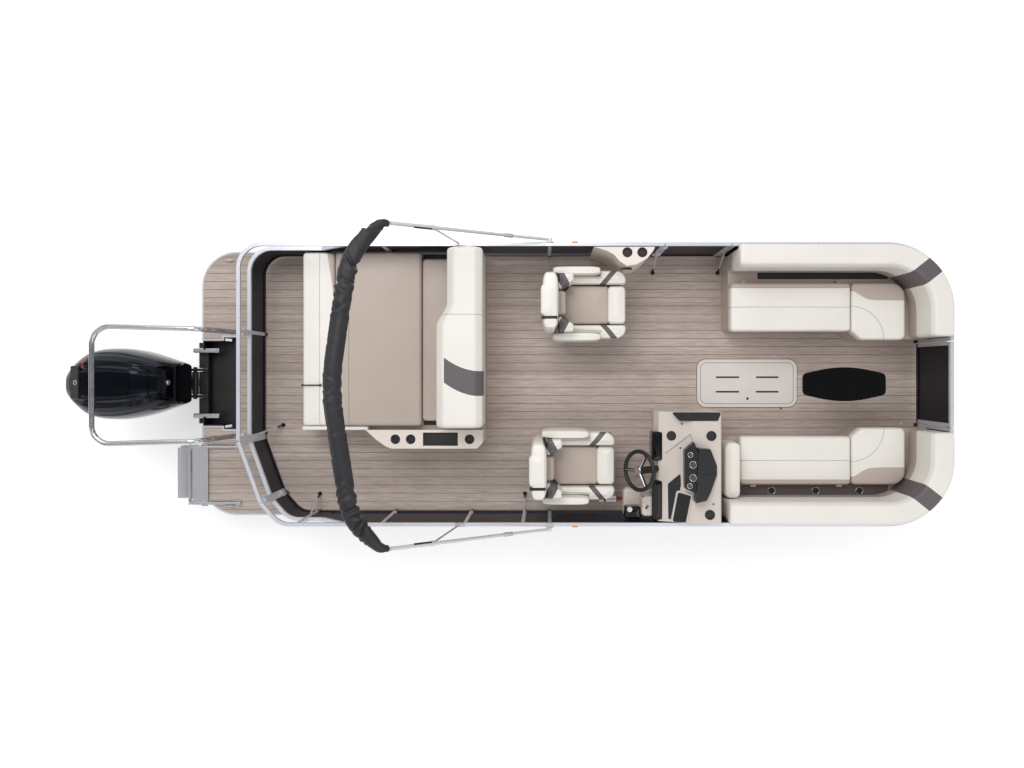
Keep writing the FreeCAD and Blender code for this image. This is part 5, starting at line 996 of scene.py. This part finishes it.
class BOAT_OT_cowl(bpy.types.Operator):
    """Builds the motor's cowl with its creases, the studs at its ends and the plate over its tail"""
    bl_idname = "boat.cowl"
    bl_label = "Motor cowl"

    def execute(self, context):
        nose, nose_out = (-3.7576, 0.013, 1.0845), (0.88, 0, 0.47)
        tail = slab((-4.56, -4.46), (-0.13, 0.165), (1.205, 1.238), 0.015)
        parts = [(self.hood(), "boat_cowl"),
                 (disc(nose, 0.020, 0.014, nose_out), "boat_polished"),
                 (torus(nose, 0.028, 0.004, nose_out), "boat_black"),
                 (torus((-4.50, 0.015, 1.268), 0.020, 0.004, (-0.49, 0, 1)), "boat_polished"),
                 (sloped(tail, -4.56, 0.49), "boat_black")]
        piece("cowl", parts, "motor", ("motor_cowl",), sharp=60)
        return {"FINISHED"}

    def hood(self):
        """The cowl's skin: superellipse rings from its nose to its tail.

        The rings' half width grows as a quarter sine and narrows as a cube, their tops dip
        at both ends as powers, and both draw in at the rims as quarter circles. Creases
        along the top are bell curves of the angle, and a waist is one of the height.
        """
        low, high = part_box("motor_cowl")
        share = 0.5 - 0.5 * np.cos(np.linspace(0, 1, 80) * math.pi)
        x = high[0] - (high[0] - low[0]) * share
        nose_half, growth, taper, widest = 0.190, 0.143, 0.198, 0.55
        half = (nose_half + growth * np.sin(np.clip(share / widest, 0, 1) * math.pi / 2)
                - taper * np.clip((share - widest) / (1 - widest), 0, 1) ** 3)
        foot, crest, nose_dip, tail_dip = 0.54, 1.315, 0.30, 0.15
        top = (crest - nose_dip * np.clip(1 - share / 0.35, 0, 1) ** 2.5
               - tail_dip * np.clip((share - 0.6) / 0.4, 0, 1) ** 2)
        rim_depth, rim_share = 0.025, 0.03
        rim = np.clip(np.minimum(share, 1 - share) / rim_share, 0, 1)
        ease = rim_depth * (1 - np.sqrt(np.clip(1 - (1 - rim) ** 2, 0, 1)))
        half, top = half - ease, top - ease
        angle = around(160)
        up = np.sin(angle)[None, :]
        fade = np.sin(np.clip(share * 1.15 - 0.05, 0, 1) * math.pi)[:, None] ** 0.7
        relief = np.zeros((1, len(angle)))
        creases = ((60, 5, 0.010), (68, 4, -0.012), (76, 5, 0.006), (35, 5, 0.006), (42, 4, -0.006))
        for spot, wide, tall in creases:
            for degrees in (spot, 180 - spot):
                relief = relief + tall * np.exp(-((angle - math.radians(degrees)) / math.radians(wide)) ** 2)
        waist = 1 - 0.02 * fade * np.exp(-((up + 0.12) / 0.04) ** 2)
        y = half[:, None] * squarish(np.cos(angle)[None, :], 3) * waist
        z = (((top + foot) / 2)[:, None] + ((top - foot) / 2)[:, None] * squarish(up, 2.7)
             + fade * (relief - 0.010))
        z = np.maximum(z, low[2] + 0.002)
        return closed_shell(np.stack([np.broadcast_to(x[:, None], y.shape), y, z], axis=2))


class BOAT_OT_helm(bpy.types.Operator):
    """Builds the gauges, panels and trays of the helm console"""
    bl_idname = "boat.helm"
    bl_label = "Helm"
    slope = 0.41
    slope_from = 0.89
    level = 1.322

    def execute(self, context):
        parts = self.panels() + self.gauges() + self.holders() + self.sides()
        piece("helm_details", parts)
        self.wheel(context.scene.boat_sizes.wheel_radius)
        return {"FINISHED"}

    def face(self, x):
        """The height of the console's sloping face at a place along X."""
        return self.level + self.slope * (x - self.slope_from)

    def inlay(self, outline, radii, low, high, finish):
        """A plate let into the sloping face, from low to high over it."""
        shell = plate(outline, radii, self.level + low, self.level + high)
        return sloped(shell, self.slope_from, self.slope), finish

    def panels(self):
        """The dark top panel, the shelf dark as painted shade, the tray in its frame and the raised edge
        round the corner, darker as painted shade.
        """
        top = [(1.262, -0.249), (1.235, -0.318), (0.900, -0.318), (0.835, -0.249)]
        # painted shade: the shelf is a dark plate that stands for the shade in its sunken recess
        shelf = [(0.814, -1.207), (0.855, -1.194), (0.920, -0.898), (0.916, -0.792), (0.810, -0.889)]
        outer = [(0.832, -1.225), (0.970, -1.225), (1.016, -0.972), (0.884, -0.940)]
        tray = [(0.848, -1.221), (0.957, -1.221), (1.001, -0.985), (0.895, -0.957)]
        parts = [(plate(top, 0.008, 1.352, 1.387), "boat_moulding_dark"),
                 self.inlay(shelf, 0.008, -0.02, 0.003, "boat_moulding_dark"),
                 self.inlay(outer, 0.02, -0.02, 0.014, "boat_moulding"),
                 self.inlay(tray, 0.015, 0, 0.019, "boat_gloss_black")]
        # painted shade: dark moulding tubes along the recess's edges on the sloping face
        for ends in (((0.790, -0.620), (1.000, -0.440)), ((1.000, -0.440), (1.020, -0.520))):
            raised = [(x, y, self.face(x) + 0.001) for x, y in ends]
            parts.append((tube(raised, 0.004), "boat_moulding_shade"))
        return parts

    def gauges(self):
        """Four gauges on the leaning dash, each a dark face with a bright rim and a needle."""
        lean = 0.62
        out = (-lean, 0, 1)
        parts = []
        for x, y, size in ((0.985, -0.614, 0.023), (1.006, -0.698, 0.031), (1.006, -0.812, 0.031),
                           (0.981, -0.885, 0.023)):
            z = 1.425 + lean * (x - 0.937)
            needle = [(x - 0.006, y, z + 0.005), (x + size * 0.4, y + size * 0.5, z + 0.008 + size * 0.25)]
            parts += [(torus((x - 0.003, y, z + 0.006), size, 0.004, out), "boat_polished"),
                      (disc((x, y, z - 0.002), size, 0.006, out), "boat_screen"),
                      (tube(needle, 0.0015, 6), "boat_polished")]
        return parts

    def holders(self):
        """Three cup holders, three buttons and the dark joint over the dash."""
        x, y = 0.840, -0.459
        parts = cup_holder((x, y, self.face(x)), -0.002, 0.001, (-self.slope, 0, 1))
        for x, y in ((1.181, -0.454), (1.168, -1.150)):
            parts += cup_holder((x, y, HELM_TOP), 0.003, 0.008)
        for x, y, z in ((0.928, -0.350, self.face(0.928)), (1.200, -1.055, HELM_TOP),
                        (0.915, -0.565, self.face(0.915))):
            parts.append((disc((x, y, z - 0.002), 0.008, 0.005), "boat_black"))
        return parts + [(tube([(1.03, -0.780, 1.521), (1.225, -0.780, 1.398)], 0.004), "boat_black")]

    def sides(self):
        """The gloss panels under the dash, and the throttle's box beside the seat."""
        parts = [(block_pad((0.672, 0.770), y, (1.08, 1.282), 0.018, 0.006, 0.02), "boat_gloss_black")
                 for y in ((-0.686, -0.425), (-1.215, -0.862))]
        box = block_pad((0.435, 0.700), (-1.225, -0.965), (0.940, 1.060), 0.03, 0.006, 0.04)
        rise = block_pad((0.583, 0.704), (-1.19, -1.0), (1.040, 1.250), 0.02, 0.006, 0.03)
        lever = block_pad((0.437, 0.578), (-1.222, -1.110), (1.060, 1.200), 0.015, 0.004, 0.02)
        return parts + [(box, "boat_moulding"), (rise, "boat_moulding"), (lever, "boat_gloss_black"),
                        (disc((0.478, -1.132, 1.199), 0.026, 0.016), "boat_polished")]

    def wheel(self, radius):
        """The wheel's bright spokes and hub and its padded rim, on its tilted plane."""
        joint = JOINTS["steering_wheel_turn"]
        centre, out = np.array(joint["pos_m"]), np.array(joint["axis"])
        along = np.array([out[2], 0, -out[0]])
        hub, rim_thick = 0.034, 0.0185
        parts = [(disc(centre + out * 0.010, hub, 0.014, out), "boat_polished")]
        for angle in np.radians((180, 300, 60)):
            ray = along * math.cos(angle) + np.array(Y) * math.sin(angle)
            line = [centre + out * 0.008 + ray * reach for reach in (0.02, 0.08, 0.150)]
            parts.append((tube(line, [0.013, 0.010, 0.007], 12), "boat_polished"))
        parts.append((torus(centre, radius, rim_thick, out, 72, 14), "boat_black"))
        piece("wheel_trim", parts, "helm_wheel")


class BOAT_OT_small_parts(bpy.types.Operator):
    """Builds cup holders, trays, painted shade strips, reflectors, a latch, a strap, the well's fittings and
    tube strakes
    """
    bl_idname = "boat.small_parts"
    bl_label = "Small parts"

    def execute(self, context):
        piece("cup_rims", self.holders() + self.trays_and_painted_shade())
        self.lounge_trim()
        latch = slab((2.020, 2.036), (-0.255, -0.239), (DECK_TOP - 0.002, DECK_TOP + 0.003), 0.006, 0.001)
        piece("hatch_latch", [(latch, "boat_black")])
        markers = [(slab((-0.045, 0.005), (y - 0.008, y + 0.008), (1.262, 1.292), 0.003, 0.002), "boat_amber")
                   for y in (1.270, -1.270)]
        piece("reflectors", markers)
        self.well()
        self.strakes()
        return {"FINISHED"}

    def holders(self):
        """The cup holders of the two side consoles and of the starboard bow seat."""
        parts = []
        for node, y, along in (("side_console", 1.178, (0.448, 0.581)),
                               ("aft_side_console", -0.517, (-1.684, -1.541, -0.992))):
            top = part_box(node)[1][2]
            for x in along:
                parts += cup_holder((x, y, top), 0.002, 0.022)
        for x in (1.849, 2.266, 2.678):
            parts += cup_holder((x, -1.010, BASE_TOP + 0.005), 0.002, 0.004, rim=0.034, well=0.033,
                                floor=0.005, finish="boat_polished")
        return parts

    def trays_and_painted_shade(self):
        """Flat strips let into the seat bases and the side consoles; two black ones are painted shade, in the
        gap between the port bow bench and its backrest and under the sun pad's step.
        """
        sunk, corner = BASE_TOP - 0.004, 0.01
        base = (sunk, BASE_TOP + 0.0035)
        return [(slab((-1.425, -1.104), (-0.578, -0.455), (0.945, 0.952), corner), "boat_black"),
                # painted shade: a black strip in the gap between the port bow bench and its backrest
                (slab((1.720, 2.95), (0.988, 1.052), base, corner), "boat_black"),
                (slab((1.550, 2.95), (-1.052, -0.946), base, corner), "boat_tray"),
                # painted shade: a black plate under the sun pad's step, seen round its edges
                (slab((-1.434, -1.160), (-0.392, 1.222), (sunk, 0.8815), 0.004, 0.002), "boat_black"),
                (slab((0.400, 0.500), (1.041, 1.056), (1.16, 1.19), 0.004), "boat_black")]

    def lounge_trim(self):
        """The aft lounge's starboard lip, and the strap over its cushion with two studs."""
        lip = slab((-2.552, -1.940), (-0.432, -0.396), (0.872, 0.985), 0.012, 0.012)
        piece("lounge_lip", [(lip, "vinyl_cream")])
        y = -0.012
        run = ((-2.556, 0.93), (-2.550, 1.000), (-2.520, 1.022), (-2.40, 1.024), (-2.36, 1.022))
        strap = [tube([(x, y, z) for x, z in run], 0.006), disc((-2.372, y, 1.016), 0.012, 0.012),
                 disc((-2.560, y, 0.93), 0.010, 0.012, against(X))]
        piece("lounge_strap", [(part, "boat_black") for part in strap])

    def well(self):
        """Plates beside the motor and over the pod's end, and a plug in the bow deck."""
        parts = [(slab((-3.760, -3.500), y, (0.480, 0.560), 0.012, 0.008), "boat_steel")
                 for y in ((0.300, 0.345), (-0.345, -0.300))]
        parts += [(slab((-3.732, -3.652), y, (0.4752, 0.4785), 0.004, 0.001), "boat_black")
                  for y in ((-0.400, -0.150), (-0.112, 0.112), (0.150, 0.400))]
        parts.append((disc((3.208, -0.396, DECK_TOP - 0.001), 0.014, 0.006), "boat_rail"))
        piece("well_fittings", parts)

    def strakes(self):
        """Thin ribs along both sides of the outer tubes, below their widest line."""
        radius, angle = 0.3175, math.radians(28)
        strakes = []
        for word, _ in SIDES:
            low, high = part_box("pontoon_" + word)
            y, z = (low[1] + high[1]) / 2, low[2] + radius * (1 - math.sin(angle))
            for out in (radius * math.cos(angle), -radius * math.cos(angle)):
                strakes.append((tube([(-3.25, y + out, z), (2.70, y + out, z)], 0.012), "boat_tubes"))
        piece("tube_strakes", strakes)


class BOAT_OT_stage(bpy.types.Operator):
    """Sets up the water-level floor, lights, camera and view"""
    bl_idname = "boat.stage"
    bl_label = "Stage"

    def execute(self, context):
        scene = context.scene
        stage = scene.boat_stage
        self.floor(scene, stage.floor_size / 2)
        self.lamp(scene, "key", (-2.5, 4.5, 9.0), 460.0)
        self.lamp(scene, "fill", (4.0, -5.0, 8.0), 140.0)
        self.sky(scene)
        data = bpy.data.cameras.new("camera")
        data.lens = 27.9
        data.sensor_width = 36.0
        data.shift_x = -0.0352
        data.shift_y = -0.0117
        scene.camera = self.add(scene, "camera", data)
        scene.camera.location = (stage.eye_x, stage.eye_y, stage.eye_z)
        scene.view_settings.view_transform = "Standard"
        return {"FINISHED"}

    def add(self, scene, name, data):
        """A new object in the scene."""
        made = bpy.data.objects.new(name, data)
        scene.collection.objects.link(made)
        return made

    def floor(self, scene, half):
        """A pale square at the water's level, faintly lit from within."""
        mesh = bpy.data.meshes.new("floor")
        corners = [(-half, -half, 0), (half, -half, 0), (half, half, 0), (-half, half, 0)]
        mesh.from_pydata(corners, [], [(0, 1, 2, 3)])
        material = bpy.data.materials.new("stage_floor")
        material.use_nodes = True
        surface = material.node_tree.nodes["Principled BSDF"].inputs
        for key, value in (("Base Color", (0.9, 0.9, 0.9, 1)), ("Roughness", 0.9),
                           ("Specular IOR Level", 0.0), ("Emission Color", (1, 1, 1, 1)),
                           ("Emission Strength", 0.35)):
            surface[key].default_value = value
        mesh.materials.append(material)
        self.add(scene, "floor", mesh)

    def lamp(self, scene, name, place, watts):
        """A wide square light aimed at the boat's middle."""
        data = bpy.data.lights.new(name, "AREA")
        data.size = 6.0
        data.energy = watts
        lamp = self.add(scene, name, data)
        lamp.location = place
        lamp.rotation_euler = (Vector((0, 0, 0.6)) - Vector(place)).to_track_quat("-Z", "Y").to_euler()

    def sky(self, scene):
        """White light all round; glossy rays see a darker room with bright strips across it."""
        scene.world = bpy.data.worlds.new("sky")
        scene.world.use_nodes = True
        tree = scene.world.node_tree
        light = tree.nodes["Background"].inputs
        light["Color"].default_value = (1, 1, 1, 1)
        place = add_node(tree, "TexCoord", {}, "Generated")
        wave = add_node(tree, "TexWave", {"Vector": place, "Scale": 0.9, "Distortion": 0.6}, "Fac",
                        bands_direction="Y")
        room = add_node(tree, "MapRange", {"Value": wave, "From Min": 0.45, "From Max": 0.85,
                                           "To Min": 0.22, "To Max": 1.5}, "Result")
        glossy = add_node(tree, "LightPath", {}, "Is Glossy Ray")
        strength = add_node(tree, "Mix", {"Factor": glossy, "A": 0.66, "B": room}, "Result",
                            data_type="FLOAT")
        tree.links.new(strength, light["Strength"])


class BOAT_PT_panel(bpy.types.Panel):
    """Sizes, colours and build steps of the boat"""
    bl_label = "Pontoon boat"
    bl_space_type = "VIEW_3D"
    bl_region_type = "UI"
    bl_category = "Boat"

    def draw(self, context):
        layout = self.layout
        for group in (context.scene.boat_colours, context.scene.boat_sizes, context.scene.boat_stage):
            for name in group.__annotations__:
                layout.prop(group, name)
        for step in STEPS:
            layout.operator(step.bl_idname)


STEPS = (BOAT_OT_materials, BOAT_OT_bow_seats, BOAT_OT_aft_seats, BOAT_OT_chairs, BOAT_OT_boot, BOAT_OT_cowl,
         BOAT_OT_helm, BOAT_OT_small_parts, BOAT_OT_stage)
CLASSES = (BoatColours, BoatSizes, BoatStage) + STEPS + (BOAT_PT_panel,)


def register():
    for cls in CLASSES:
        bpy.utils.register_class(cls)
    bpy.types.Scene.boat_colours = PointerProperty(type=BoatColours)
    bpy.types.Scene.boat_sizes = PointerProperty(type=BoatSizes)
    bpy.types.Scene.boat_stage = PointerProperty(type=BoatStage)


def unregister():
    del bpy.types.Scene.boat_stage
    del bpy.types.Scene.boat_sizes
    del bpy.types.Scene.boat_colours
    for cls in reversed(CLASSES):
        bpy.utils.unregister_class(cls)


def main():
    """Runs every step in order."""
    register()
    bpy.ops.boat.materials()
    bpy.ops.boat.bow_seats()
    bpy.ops.boat.aft_seats()
    bpy.ops.boat.chairs()
    bpy.ops.boat.boot()
    bpy.ops.boat.cowl()
    bpy.ops.boat.helm()
    bpy.ops.boat.small_parts()
    bpy.ops.boat.stage()
    bpy.context.view_layer.update()


if __name__ == "__main__":
    main()
